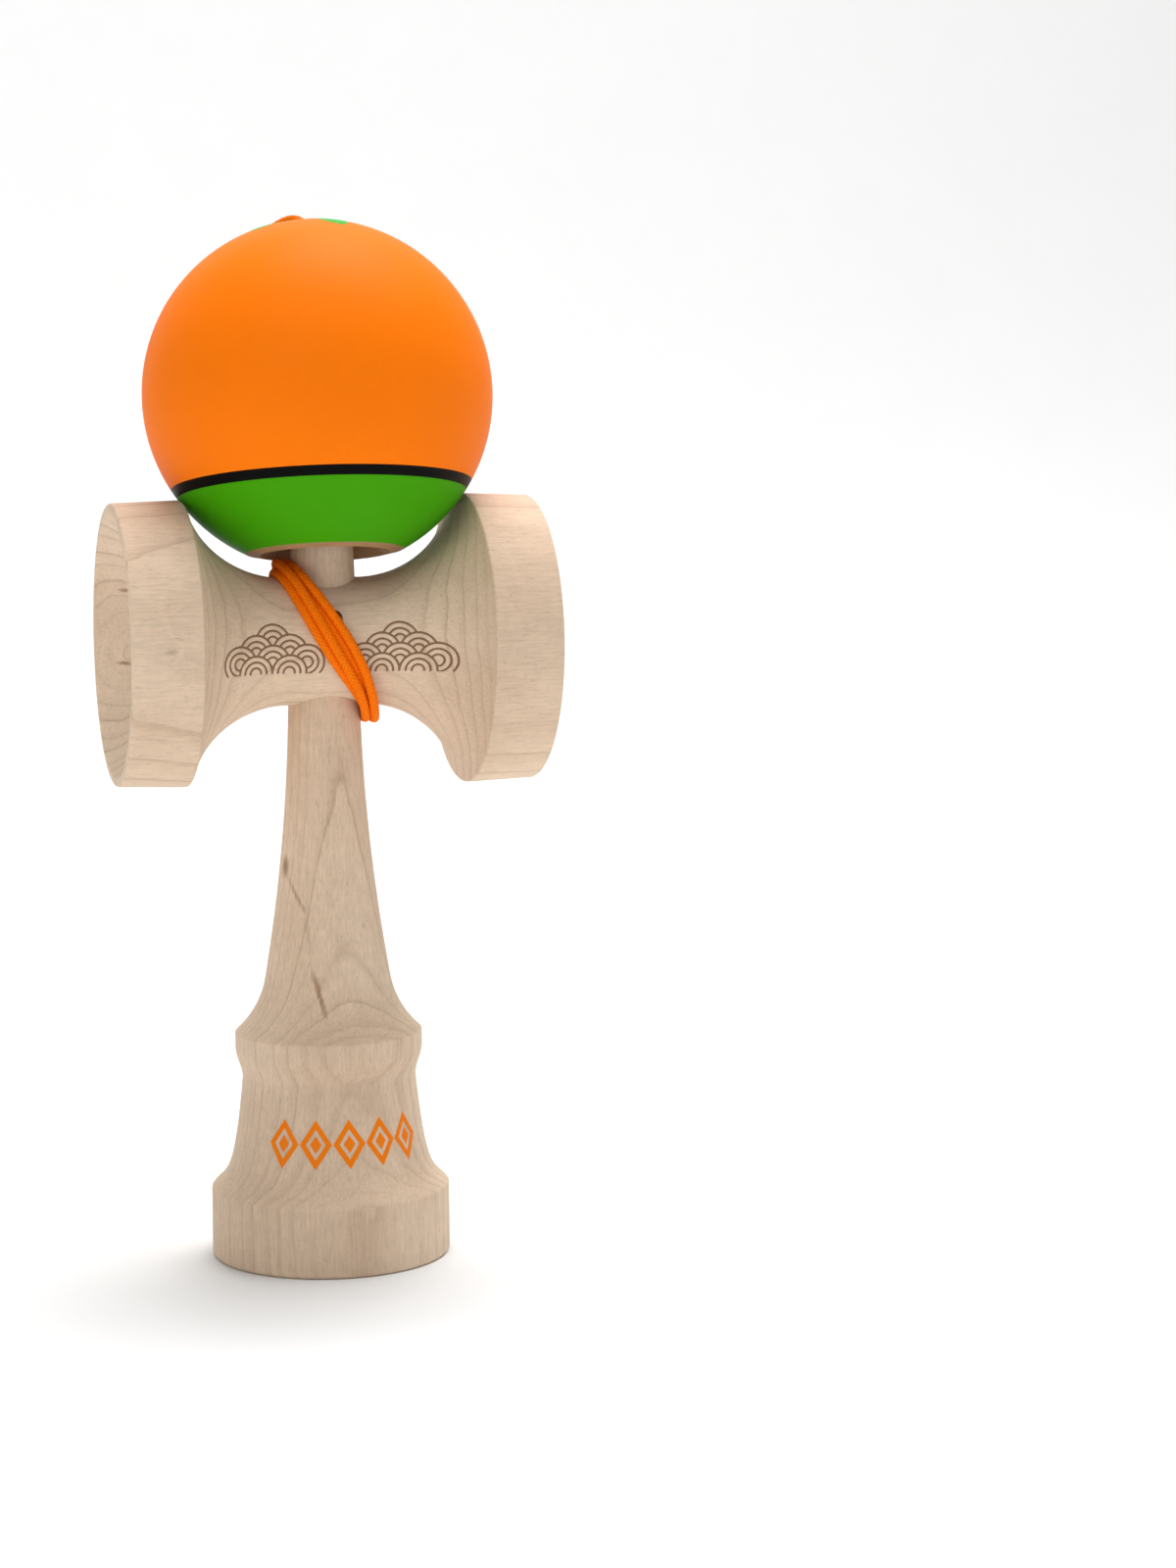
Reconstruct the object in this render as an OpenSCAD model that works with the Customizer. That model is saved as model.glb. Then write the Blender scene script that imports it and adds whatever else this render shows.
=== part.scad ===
// Wooden kendama, standing on its foot with the ball on the spike.
// The turned handle passes through a cross piece that carries a small cup (-X) and a big cup (+X).
// A string is knotted inside the handle, wound over the crossing, led over the back of the ball,
// and held inside the ball by a bead and a knot. The front is -Y, and Z = 0 is the floor.

/* [Handle] */
// Diameter of the foot that holds the base cup
foot_d = 41.7; // [38:0.1:46]
// Height of the foot's band
foot_h = 12.6; // [10:0.1:15]
// Rounding of the foot's upper and lower edges
foot_round = 0.8; // [0.3:0.1:1.2]
// Width of the rim round the base cup
foot_rim_w = 2.1; // [1.6:0.1:3]
// Diameter of the narrowest place under the ring
neck_d = 30.4; // [27:0.1:31.6]
// Height of the narrowest place under the ring
neck_z = 31.2; // [28:0.1:33]
// Diameter of the ring
ring_d = 32.7; // [32:0.1:36]
// Height of the ring's lower edge
ring_z = 36.9; // [35.5:0.1:37.8]
// Height of the ring's upper edge
ring_top_z = 39.8; // [39:0.1:41.5]
// Rounding of the ring's upper edge
ring_round = 0.5; // [0.3:0.1:0.9]
// Height where the long grip turns into the flare above the ring
flare_z = 49; // [46:0.5:54]
// Slope of the grip at that height, in degrees from the axis
flare_slope = 10; // [7:0.5:12]
// Diameter of the handle at the middle of the cross piece
fit_d = 11.8; // [10.5:0.1:13]
// Slope of the tapered fit in the cross piece, in degrees
fit_slope = 1.7; // [1:0.1:2.5]
// Height of the spike's tip above the middle of the ball that sits on it
spike_up = 5.2; // [0:0.1:6]
// Length of the spike's rounded tip
spike_tip_l = 9; // [6:0.5:14]
// Slope of the spike, in degrees
spike_slope = 2; // [1:0.1:3]

/* [Cross piece] */
// Height of the axis of the cross piece
cross_z = 107.7; // [104:0.1:110]
// Width over both cups
cross_w = 73; // [70:0.2:78]
// Diameter of the small cup's band
small_cup_d = 49; // [47:0.1:51]
// Diameter of the big cup's band
big_cup_d = 50.6; // [48:0.1:52.5]
// How much the bands narrow towards the rims, on the diameter
band_taper = 0.8; // [0:0.1:1.6]
// Diameter of the waist
waist_d = 22; // [20:0.1:24]
// Radius of the hollow flare between waist and cup
flare_r = 19; // [17.5:0.1:20.5]
// Rounding of the shoulder that the ball sits on
shoulder_round = 1.2; // [0.8:0.1:2]
// Rounding of the outer edge of the rims
rim_round = 0.4; // [0.2:0.1:0.6]
// Width of the rim round each dish
rim_w = 1.4; // [1:0.1:2.5]
// Radius of the spherical dish in all three cups
dish_r = 31; // [30.2:0.1:36]
// Diameter of the string holes in the front and back of the waist
string_hole_d = 2.8; // [2.4:0.1:3.4]
// Height of the string holes above the cross piece's axis
string_hole_up = 4.4; // [2.5:0.1:5]

/* [Ball] */
// Diameter of the ball
ball_d = 60; // [58:0.2:62]
// How far the ball leans back on the spike, in degrees
ball_tilt = 8.6; // [4:0.1:8.8]
// Angle from below at which the ball meets the cups' shoulders, seen from its middle
seat_angle = 54.2; // [50:0.1:58]
// Gap between the ball and the shoulders under it
seat_gap = 0.25; // [0.2:0.05:0.5]
// Diameter of the bare ring round the hole
bare_ring_d = 27; // [25:0.1:30]
// Depth of the bare ring's slope round the hole
bare_ring_drop = 0.5; // [0.3:0.1:0.8]
// Diameter of the hole's mouth
mouth_d = 22.4; // [21:0.1:24]
// Depth of the bevel inside the mouth
mouth_bevel = 2; // [1:0.1:4]
// Diameter of the hole
bore_d = 19.4; // [19.2:0.1:20.6]
// Height of the hole's straight wall above the ball's centre
bore_up = 13; // [11:0.5:15]
// Slope of the hole's drilled end, in degrees from square
drill_slope = 31; // [25:1:40]
// Diameter of the string's channel at the top
channel_d = 4; // [3.4:0.1:5]
// Bevel of the channel's mouth
channel_bevel = 1; // [0.6:0.1:1.4]

/* [String] */
// Diameter of the string
string_d = 1.6; // [1.2:0.1:1.7]
// Gap between the winding and the wood under it
wrap_gap = 0.3; // [0.25:0.05:0.6]
// Gap between neighbouring turns of the winding
turn_gap = 0.56; // [0.54:0.01:0.7]
// Number of strands over the front of the crossing
front_strands = 4; // [3:1:4]
// Sideways swing of the winding over the front
swing = 6.6; // [5:0.1:8]
// Extra swing of the winding into the corners beside spike and handle
corner_swing = 4.4; // [4.3:0.1:5.4]
// Diameter of the bead inside the ball
bead_d = 7.6; // [6:0.1:9]
// Height of the bead
bead_h = 5.6; // [4:0.1:7]
// Diameter of the bead's hole
bead_bore_d = 2.4; // [2.2:0.1:3]
// Diameter of the string's two knots
knot_d = 3.4; // [3:0.1:3.8]
// Diameter of the cross hole in the handle that hides the knot
knot_bore_d = 4; // [3.8:0.1:4.6]
// Gap round knots and bead
knot_gap = 0.15; // [0.1:0.05:0.3]

/* [Hidden] */
$fn = 96;

wood = [0.87, 0.75, 0.62];
orange = [0.98, 0.45, 0.05];
// Steps of a drawn curve, and of a small rounding
curve_steps = 14;
round_steps = 4;
// Length by which a cutting tool passes the face that it cuts
past = 2;
// Rings in one turn of the winding, and sides of its tube
turn_rings = 24;
wrap_sides = 6;
// Sides of the free string's tube, and a direction that no tube starts along
run_sides = 8;
first_normal = [0.3, 0.4, 0.9];

// Handle, worked out
foot_r = foot_d / 2;
ring_r = ring_d / 2;
waist_r = waist_d / 2;
fit_r = fit_d / 2;
// Directions of the curves of the neck, in degrees, and the lengths of their control arms
neck_lean = 5.5;
neck_reach = 18;
foot_slope = 50;
foot_reach = 3.5;
cove_reach = 2;
// The taper runs past both sides of the waist by this much
fit_past = 2;
fit_low_z = cross_z - waist_r - fit_past;
fit_high_z = cross_z + waist_r + fit_past;
foot_edge = [foot_r - foot_round, foot_h - foot_round];
foot_curve_end = foot_edge + foot_round * [sin(foot_slope), cos(foot_slope)];
neck_point = [neck_d / 2, neck_z];
ring_edge = [ring_r - ring_round, ring_top_z - ring_round];
grip_start = [fit_radius(fit_low_z), fit_low_z];
// The grip is one wide arc down to flare_z and one tight arc from there to the ring
grip_r = (fit_low_z - flare_z) / (sin(flare_slope) - sin(fit_slope));
grip_end = grip_start + grip_r * [cos(fit_slope) - cos(flare_slope), sin(fit_slope) - sin(flare_slope)];
ring_slope = 2 * atan((ring_edge.x + ring_round * cos(45) - grip_end.x)
    / (flare_z - ring_edge.y - ring_round * sin(45))) - flare_slope;
ring_curve_end = ring_edge + ring_round * [cos(ring_slope), sin(ring_slope)];
flare_end_slope = 2 * atan((ring_curve_end.x - grip_end.x) / (flare_z - ring_curve_end.y)) - flare_slope;
flare_arc_r = (flare_z - ring_curve_end.y) / (sin(flare_end_slope) - sin(flare_slope));

// Cross piece, worked out: the ball's size sets the place of the shoulders that it sits on
ball_r = ball_d / 2;
seat_reach = ball_r + shoulder_round + seat_gap;
half_w = cross_w / 2;
band_x = seat_reach * sin(seat_angle);
hole_z = cross_z + string_hole_up;

// The ball's centre lies at one distance from the roundings of both shoulders
seat_low = [-band_x, small_cup_d / 2 - shoulder_round];
seat_high = [band_x, big_cup_d / 2 - shoulder_round];
seat_span = norm(seat_high - seat_low);
seat_rise = sqrt(pow(seat_reach, 2) - pow(seat_span / 2, 2));
seat_along = (seat_high - seat_low) / seat_span;
seat_centre = (seat_low + seat_high) / 2 + seat_rise * [-seat_along.y, seat_along.x];
ball_c = [seat_centre.x, 0, cross_z + seat_centre.y];
spike_tip_z = ball_c.z + spike_up;
spike_shoulder_z = spike_tip_z - spike_tip_l;
spike_shoulder_r = fit_radius(fit_high_z) - (spike_shoulder_z - fit_high_z) * tan(spike_slope);
spike_reach = 0.5 * spike_tip_l;
bare_r = bare_ring_d / 2;
bare_z = -sqrt(pow(ball_r, 2) - pow(bare_r, 2));
mouth_z = bare_z - bare_ring_drop;
bore_r = bore_d / 2;
channel_r = channel_d / 2;
drill_rise = (bore_r - channel_r) * tan(drill_slope);
drill_apex_z = bore_up + bore_r * tan(drill_slope);

// The bead hangs under the drilled end, with the knot under it
bead_z = drill_apex_z - (bead_d / 2 + knot_gap) / cos(drill_slope);
bead_knot_z = bead_z - bead_h / 2 - knot_gap - knot_d / 2;
string_r = string_d / 2;
knot_y = fit_radius(hole_z) - knot_gap - knot_d / 2;

// Winding, worked out
turn_step = string_d + turn_gap;
wrap_start_a = 180 - asin(string_hole_up / (waist_r + wrap_gap + string_r));
// Angle over which the string bends out of its hole onto the winding
wrap_join = 30;
// Angle past the last front strand at which the string leaves the wood
wrap_leave = 164;
// Part of the back over which the string moves on by one strand
shift_a = 120;
// How sharply the extra swing sets in near the corners (odd, so that it keeps its side)
corner_power = 3;
wrap_end_a = -360 * (front_strands - 1) - wrap_leave;
wrap_step = 360 / turn_rings;
wrap_count = floor((wrap_start_a - wrap_join - wrap_end_a) / wrap_step);
// The string starts to bend a little inside its hole; the bend's control arms follow
bend_depth = 0.6 * string_d;
bend_out = 2.2 * string_d;
bend_in = 2 * string_d;
bend_rings = 7;
hole_exit = [0, sqrt(pow(waist_r, 2) - pow(string_hole_up, 2)) - bend_depth, hole_z];
wrap_last_a = wrap_start_a - wrap_join - wrap_count * wrap_step;
wrap_last = wrap_point(wrap_last_a);
wrap_way = unit(wrap_last - wrap_point(wrap_last_a + wrap_step));
wrap_end = wrap_last + string_d * wrap_way;
wrap_path = concat(
    [[0, knot_y + knot_d / 2, hole_z]],
    bend_curve(bend_rings),
    [for (i = [1:wrap_count]) wrap_point(wrap_start_a - wrap_join - i * wrap_step)],
    [wrap_end]
);

// The free string runs from the winding up to the ball, lies over its back and bends into its channel
lie_gap = 0.4;
lie_r = ball_r + string_r + lie_gap;
// Direction of the channel's string, from the back towards the small cup
string_turn = 42;
// Angles up the ball at which the string's tube has rings
lie_angles = [8:8:72];
// Bend over the channel's mouth as [distance from the channel's axis, height above the ball's top]
mouth_route = [[6.6, 1.5], [4.2, 1.9], [2, 1.5], [0.7, 0], [0.2, -2.3]];
// Place behind the spike, beside its axis, that the string passes on its way up
run_side = 0.6;
run_by = [run_side, waist_r + 3.5 * string_d, cross_z + 0.9 * waist_r];
// Control arms and rings of the stretch up to there, and rings of the climb round the ball
run_arm_low = 5;
run_arm_high = 4;
run_rings = 8;
climb_rings = 13;
// Straight pieces on both sides of each meeting place, so that the tubes meet on one flat face
run_meet = over_ball(lie_r, 0);
run_way = string_d * (in_ball([0, 0, 1]) - ball_c);
run_start = wrap_end + string_d * wrap_way;
run_top = run_meet - run_way;
channel_low = [0, 0, bead_z + bead_h];
bead_knot_top = [0, 0, bead_knot_z + knot_d / 2 + knot_gap / 2];
// From there the string goes straight until it touches the ball, and on to the side that it lies on
run_by_in = of_ball(run_by);
run_by_out = norm(run_by_in);
run_by_up = asin(run_by_in.z / run_by_out);
run_by_turn = atan2(-run_by_in.x, run_by_in.y);
touch_up = run_by_up + acos(lie_r / run_by_out);
climb = [for (i = [1:climb_rings - 1]) climb_point(i / climb_rings)];
run_path = concat(
    [wrap_end, run_start],
    cubic([
        run_start,
        run_start + run_arm_low * wrap_way,
        run_by - run_arm_high * unit(climb[0] - run_by),
        run_by
    ], run_rings),
    climb,
    [run_top, run_meet]
);
top_path = concat(
    [run_meet, run_meet + run_way],
    [for (a = lie_angles) over_ball(lie_r * cos(a), lie_r * sin(a))],
    [for (p = mouth_route) over_ball(p.x, ball_r + p.y)],
    [in_ball(channel_low), in_ball(bead_knot_top)]
);

// Radius of the tapered fit at a height
function fit_radius(z) = fit_r - (z - cross_z) * tan(fit_slope);

function unit(v) = v / norm(v);

// Points of an arc about a centre, from one angle to another
function arc(centre, r, from, to, steps) =
    [for (i = [0:steps]) let (a = from + (to - from) * i / steps) centre + r * [cos(a), sin(a)]];

// Points of a cubic curve after its first point
function cubic(p, steps) =
    [for (i = [1:steps]) let (t = i / steps, s = 1 - t)
        s * s * s * p[0] + 3 * s * s * t * p[1] + 3 * s * t * t * p[2] + t * t * t * p[3]];

function reversed(list) = [for (i = [len(list) - 1:-1:0]) list[i]];

// Spherical dish of a cup as points from its rim to the axis; the cup opens towards +y at height open_y
function dish(open_r, open_y) =
    let (edge_a = acos(open_r / dish_r))
    arc([0, open_y + sqrt(pow(dish_r, 2) - pow(open_r, 2))], dish_r, -edge_a, -90, curve_steps);

// Half outline of the handle, from the base cup up to the tip of the spike
function ken_outline() = concat(
    [for (p = reversed(dish(foot_r - foot_rim_w, 0))) [p.x, -p.y]],
    arc([foot_r - foot_round, foot_round], foot_round, -90, 0, round_steps),
    arc(foot_edge, foot_round, 0, 90 - foot_slope, round_steps),
    cubic([
        foot_curve_end,
        foot_curve_end + foot_reach * [-cos(foot_slope), sin(foot_slope)],
        neck_point + neck_reach * [sin(neck_lean), -cos(neck_lean)],
        neck_point
    ], curve_steps),
    cubic([
        neck_point,
        neck_point + cove_reach * [-sin(neck_lean), cos(neck_lean)],
        [ring_r, ring_z - cove_reach],
        [ring_r, ring_z]
    ], curve_steps),
    arc(ring_edge, ring_round, 0, ring_slope, round_steps),
    reversed(arc(grip_end + flare_arc_r * [cos(flare_slope), sin(flare_slope)], flare_arc_r,
        180 + flare_slope, 180 + flare_end_slope, curve_steps)),
    reversed(arc(grip_start + grip_r * [cos(fit_slope), sin(fit_slope)], grip_r,
        180 + fit_slope, 180 + flare_slope, curve_steps)),
    [[fit_radius(fit_high_z), fit_high_z], [spike_shoulder_r, spike_shoulder_z]],
    cubic([
        [spike_shoulder_r, spike_shoulder_z],
        [spike_shoulder_r, spike_shoulder_z] + spike_reach * [-sin(spike_slope), cos(spike_slope)],
        [spike_shoulder_r / 2, spike_tip_z],
        [0, spike_tip_z]
    ], curve_steps)
);

// Slope of the flare where it meets a shoulder, and the length of the waist's straight part
function flare_turn(cup_d) = acos(1 - (cup_d / 2 - waist_r) / (flare_r + shoulder_round));
function waist_half(cup_d) = band_x - (flare_r + shoulder_round) * sin(flare_turn(cup_d));

// Half outline of one cup as [radius, distance from the handle's axis], from the waist to the dish
function cup_outline(cup_d) =
    let (turn = flare_turn(cup_d), rim_r = (cup_d - band_taper) / 2)
    concat(
        [for (p = arc([waist_half(cup_d), waist_r + flare_r], flare_r, -90, turn - 90, curve_steps))
            [p.y, p.x]],
        arc([cup_d / 2 - shoulder_round, band_x], shoulder_round, -turn, 0, round_steps),
        arc([rim_r - rim_round, half_w - rim_round], rim_round, 0, 90, round_steps),
        [for (p = dish(rim_r - rim_w, 0)) [p.x, half_w + p.y]]
    );

// Radius of the cross piece's outside at a distance x from the handle's axis
function cross_radius(x) =
    let (past_waist = max(abs(x) - waist_half(x < 0 ? small_cup_d : big_cup_d), 0))
    waist_r + flare_r - sqrt(pow(flare_r, 2) - pow(past_waist, 2));

// A point given in the ball's own leaning frame
function in_ball(p) = ball_c + [p.x, p.y * cos(ball_tilt) + p.z * sin(ball_tilt),
    p.z * cos(ball_tilt) - p.y * sin(ball_tilt)];

// The same the other way: where a point lies in the ball's own frame
function of_ball(p) = let (d = p - ball_c) [d.x, d.y * cos(ball_tilt) - d.z * sin(ball_tilt),
    d.y * sin(ball_tilt) + d.z * cos(ball_tilt)];

// A point of the string's climb round the ball, for a share of it from 0 to 1
function climb_point(part) = let (
        up = run_by_up * (1 - part) - asin(string_d / lie_r) * part,
        turn = run_by_turn + (string_turn - run_by_turn) * part * part * (3 - 2 * part),
        out = lie_r / cos(max(touch_up - up, 0))
    ) in_ball(out * [-cos(up) * sin(turn), cos(up) * cos(turn), sin(up)]);

// A point in the plane of the string that lies over the ball
function over_ball(out, up) = in_ball([-out * sin(string_turn), out * cos(string_turn), up]);

// Which strand the winding is on at an angle: it moves on by one over the back of each turn
function strand(a) =
    let (turns = (-a - 180 + shift_a / 2) / 360, whole = floor(turns))
    let (part = min((turns - whole) * 360 / shift_a, 1))
    max(whole + part * part * (3 - 2 * part), 0);

// Centre of the wound string at an angle about the cross piece: 0 is the front and 90 the top
function wrap_point(a) =
    let (corner_pull = corner_power * corner_swing * pow(sin(a), corner_power - 1))
    let (lean = sqrt(1 + pow((swing + corner_pull) * cos(a) / waist_r, 2)))
    let (side = ((front_strands - 1) / 2 - strand(a)) * turn_step * lean)
    let (x = side - swing * sin(a) - corner_swing * pow(sin(a), corner_power))
    let (r = cross_radius(x) + (string_r + wrap_gap) * flare_grow(x))
    [x, -r * cos(a), cross_z + r * sin(a)];

// How much further out the string lies where the flare slopes
function flare_grow(x) =
    let (past_waist = max(abs(x) - waist_half(x < 0 ? small_cup_d : big_cup_d), 0))
    1 / sqrt(1 - pow(past_waist / flare_r, 2));

// The bend from the hole in the back of the waist onto the winding
function bend_curve(rings) =
    let (on = wrap_point(wrap_start_a - wrap_join))
    let (along = unit(wrap_point(wrap_start_a - wrap_join - 1) - on))
    concat([hole_exit], cubic([hole_exit, hole_exit + [0, bend_out, 0], on - bend_in * along, on], rings));

// Tube along a list of points, with its rings turned as little as possible
function heading(path, i) = unit(path[min(i + 1, len(path) - 1)] - path[max(i - 1, 0)]);
function square_to(v, axis) = unit(v - (v * axis) * axis);
function tube_normals(path) =
    [for (i = 0, n = square_to(first_normal, heading(path, 0)); i < len(path);
        i = i + 1, n = square_to(n, heading(path, min(i, len(path) - 1)))) n];

module tube(path, r, sides) {
    normals = tube_normals(path);
    points = [for (i = [0:len(path) - 1], j = [0:sides - 1])
        path[i] + r * (cos(360 * j / sides) * normals[i]
            + sin(360 * j / sides) * cross(heading(path, i), normals[i]))];
    walls = [for (i = [0:len(path) - 2], j = [0:sides - 1])
        let (a = i * sides + j, b = i * sides + (j + 1) % sides)
        each [[a, a + sides, b], [b, a + sides, b + sides]]];
    last = (len(path) - 1) * sides;
    ends = [for (j = [1:sides - 2]) each [[0, j, j + 1], [last, last + j + 1, last + j]]];
    polyhedron(points, concat(walls, ends));
}

// A stopper knot seen as two tucked turns of the string about the Z axis
module knot() {
    lobe_r = knot_d / 4;
    rotate_extrude() {
        intersection() {
            translate([0, -knot_d / 2])
                square([knot_d / 2, knot_d]);
            union() {
                for (side = [-1, 1])
                    translate([knot_d / 2 - lobe_r, side * lobe_r])
                        circle(lobe_r);
                translate([0, -knot_d / 2])
                    square([knot_d / 2 - lobe_r, knot_d]);
            }
        }
    }
}

module ken() {
    color(wood)
        difference() {
            rotate_extrude()
                polygon(ken_outline());
            translate([0, 0, hole_z])
                rotate([90, 0, 0])
                    cylinder(d = knot_bore_d, h = fit_d + past, center = true);
        }
}

module sarado() {
    color(wood)
        difference() {
            translate([0, 0, cross_z])
                rotate([0, 90, 0])
                    rotate_extrude()
                        polygon(concat(
                            reversed([for (p = cup_outline(small_cup_d)) [p.x, -p.y]]),
                            cup_outline(big_cup_d)
                        ));
            translate([0, 0, fit_low_z])
                cylinder(r1 = fit_radius(fit_low_z), r2 = fit_radius(fit_high_z), h = fit_high_z - fit_low_z);
            translate([0, 0, hole_z])
                rotate([90, 0, 0])
                    cylinder(d = string_hole_d, h = waist_d + past, center = true);
        }
}

module tama() {
    color(orange)
        translate(ball_c)
            rotate([-ball_tilt, 0, 0])
                difference() {
                    sphere(r = ball_r);
                    rotate_extrude()
                        polygon([
                            [0, -ball_r - past],
                            [bare_r, -ball_r - past],
                            [bare_r, bare_z],
                            [mouth_d / 2, mouth_z],
                            [bore_r, mouth_z + mouth_bevel],
                            [bore_r, bore_up],
                            [channel_r, bore_up + drill_rise],
                            [channel_r, ball_r - channel_bevel],
                            [channel_r + channel_bevel + past, ball_r + past],
                            [0, ball_r + past]
                        ]);
                }
}

module bead() {
    color("saddlebrown")
        translate(in_ball([0, 0, bead_z]))
            rotate([-ball_tilt, 0, 0])
                difference() {
                    intersection() {
                        sphere(d = bead_d);
                        cube([bead_d, bead_d, bead_h], center = true);
                    }
                    cylinder(d = bead_bore_d, h = bead_h + past, center = true);
                }
}

module ken_knot() {
    color(orange)
        translate([0, knot_y, hole_z])
            rotate([90, 0, 0])
                knot();
}

module bead_knot() {
    color(orange)
        translate(in_ball([0, 0, bead_knot_z]))
            rotate([-ball_tilt, 0, 0])
                knot();
}

module string_wrap() {
    color(orange)
        tube(wrap_path, string_r, wrap_sides);
}

module string_run() {
    color(orange)
        tube(run_path, string_r, run_sides);
}

module string_top() {
    color(orange)
        tube(top_path, string_r, run_sides);
}

// Least gap of the winding to itself, between points at least half a turn apart
gap_step = 5;
half_turn = 180 / gap_step;
gap_points = [for (a = [wrap_start_a - wrap_join:-gap_step:wrap_end_a]) wrap_point(a)];
least_gap = min([for (i = [0:len(gap_points) - 1], j = [i + half_turn:len(gap_points) - 1])
    norm(gap_points[i] - gap_points[j])]) - string_d;
echo(least_gap = least_gap, ball_c = ball_c, wrap_end = wrap_end);

ken();
sarado();
tama();
bead();
ken_knot();
bead_knot();
string_wrap();
string_run();
string_top();
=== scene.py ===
import math

import bpy
import numpy as np
from mathutils import Matrix, Vector


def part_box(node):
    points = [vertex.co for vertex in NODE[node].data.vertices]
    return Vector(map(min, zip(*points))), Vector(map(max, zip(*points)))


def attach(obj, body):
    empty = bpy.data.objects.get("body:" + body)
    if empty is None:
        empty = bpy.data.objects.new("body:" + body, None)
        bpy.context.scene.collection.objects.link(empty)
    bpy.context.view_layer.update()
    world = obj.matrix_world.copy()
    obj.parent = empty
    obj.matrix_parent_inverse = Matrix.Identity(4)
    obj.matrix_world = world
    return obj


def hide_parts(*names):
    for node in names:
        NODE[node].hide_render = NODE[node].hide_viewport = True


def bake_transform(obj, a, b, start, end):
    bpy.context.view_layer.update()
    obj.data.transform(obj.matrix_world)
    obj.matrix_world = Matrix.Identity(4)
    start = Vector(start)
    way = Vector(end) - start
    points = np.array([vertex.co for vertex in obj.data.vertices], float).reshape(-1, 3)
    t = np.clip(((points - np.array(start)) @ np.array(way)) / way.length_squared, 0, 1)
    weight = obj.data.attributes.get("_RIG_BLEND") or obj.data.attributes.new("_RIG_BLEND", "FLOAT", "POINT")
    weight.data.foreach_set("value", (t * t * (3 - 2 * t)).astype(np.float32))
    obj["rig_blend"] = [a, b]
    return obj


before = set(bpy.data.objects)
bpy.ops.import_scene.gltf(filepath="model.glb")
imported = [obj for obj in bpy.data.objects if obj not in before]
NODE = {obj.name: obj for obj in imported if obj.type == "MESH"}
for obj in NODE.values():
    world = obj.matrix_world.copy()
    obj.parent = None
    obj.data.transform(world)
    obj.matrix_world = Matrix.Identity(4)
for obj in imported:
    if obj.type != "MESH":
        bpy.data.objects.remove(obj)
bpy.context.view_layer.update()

MM = 0.001

# Sizes of the part in millimetres and angles in degrees, as in its source
FOOT_R, FOOT_H, FOOT_ROUND, FOOT_RIM = 20.85, 12.6, 0.8, 2.1
NECK_R, NECK_Z, NECK_LEAN, NECK_REACH = 15.2, 31.2, 5.5, 18
FOOT_SLOPE, FOOT_REACH, COVE_REACH = 50, 3.5, 2
RING_R, RING_Z, RING_TOP, RING_ROUND = 16.35, 36.9, 39.8, 0.5
FLARE_Z, FLARE_SLOPE = 49, 10
FIT_R, FIT_SLOPE, FIT_PAST = 5.9, 1.7, 2
SPIKE_UP, SPIKE_TIP, SPIKE_SLOPE = 5.2, 9, 2
CROSS_Z, HALF_W, WAIST_R, CUP_FLARE_R = 107.7, 36.5, 11, 19
SMALL_CUP_D, BIG_CUP_D, BAND_TAPER = 49, 50.6, 0.8
SHOULDER_ROUND, RIM_ROUND, RIM_W, DISH_R = 1.2, 0.4, 1.4, 31
HOLE_R, HOLE_UP, KNOT_BORE_R = 1.4, 4.4, 2
BALL_R, BALL_TILT, SEAT_ANGLE, SEAT_GAP = 30, 8.6, 54.2, 0.25
BARE_R, BARE_DROP, MOUTH_R, MOUTH_BEVEL = 13.5, 0.5, 11.2, 2
BORE_R, BORE_UP, DRILL_SLOPE, CHANNEL_R, CHANNEL_BEVEL = 9.7, 13, 31, 2, 1
BEAD_D, BEAD_H, KNOT_D, KNOT_GAP = 7.6, 5.6, 3.4, 0.15
STRING_D = 1.6
STRING_R = STRING_D / 2

# Lengths that count as nothing
SAME_PLACE, ON_AXIS, TINY = 1e-4, 1e-6, 1e-9

deg = math.radians


def sind(a):
    return math.sin(deg(a))


def cosd(a):
    return math.cos(deg(a))


def tand(a):
    return math.tan(deg(a))


def direction(a):
    return np.array([cosd(a), sind(a)])


def fit_radius(z):
    return FIT_R - (z - CROSS_Z) * tand(FIT_SLOPE)


SEAT_REACH = BALL_R + SHOULDER_ROUND + SEAT_GAP
BAND_X = SEAT_REACH * sind(SEAT_ANGLE)
FIT_LOW, FIT_HIGH = CROSS_Z - WAIST_R - FIT_PAST, CROSS_Z + WAIST_R + FIT_PAST
HOLE_Z = CROSS_Z + HOLE_UP


def ball_centre():
    """The ball's centre lies at one distance from both shoulder roundings."""
    low = np.array([-BAND_X, SMALL_CUP_D / 2 - SHOULDER_ROUND])
    high = np.array([BAND_X, BIG_CUP_D / 2 - SHOULDER_ROUND])
    span = np.linalg.norm(high - low)
    along = (high - low) / span
    rise = math.sqrt(SEAT_REACH**2 - (span / 2) ** 2)
    c = (low + high) / 2 + rise * np.array([-along[1], along[0]])
    return np.array([c[0], 0.0, CROSS_Z + c[1]])


BALL_C = ball_centre()


def in_ball(p):
    """A point of the ball's own leaning frame, in the part's frame."""
    x, y, z = p
    c, s = cosd(BALL_TILT), sind(BALL_TILT)
    return BALL_C + np.array([x, y * c + z * s, z * c - y * s])


# Camera at the photograph's place, with its looking direction and lens
CAM_PLACE = np.array([-108.69, -529.20, 140.93])
CAM_PAN, CAM_PITCH, CAM_ROLL = deg(16.464), deg(-6.193), deg(-0.302)
CAM_SENSOR, CAM_LENS = 36, 71.41
CAM_CLIP = (0.01, 20)


def add_object(name, data):
    obj = bpy.data.objects.new(name, data)
    bpy.context.scene.collection.objects.link(obj)
    return obj


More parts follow.
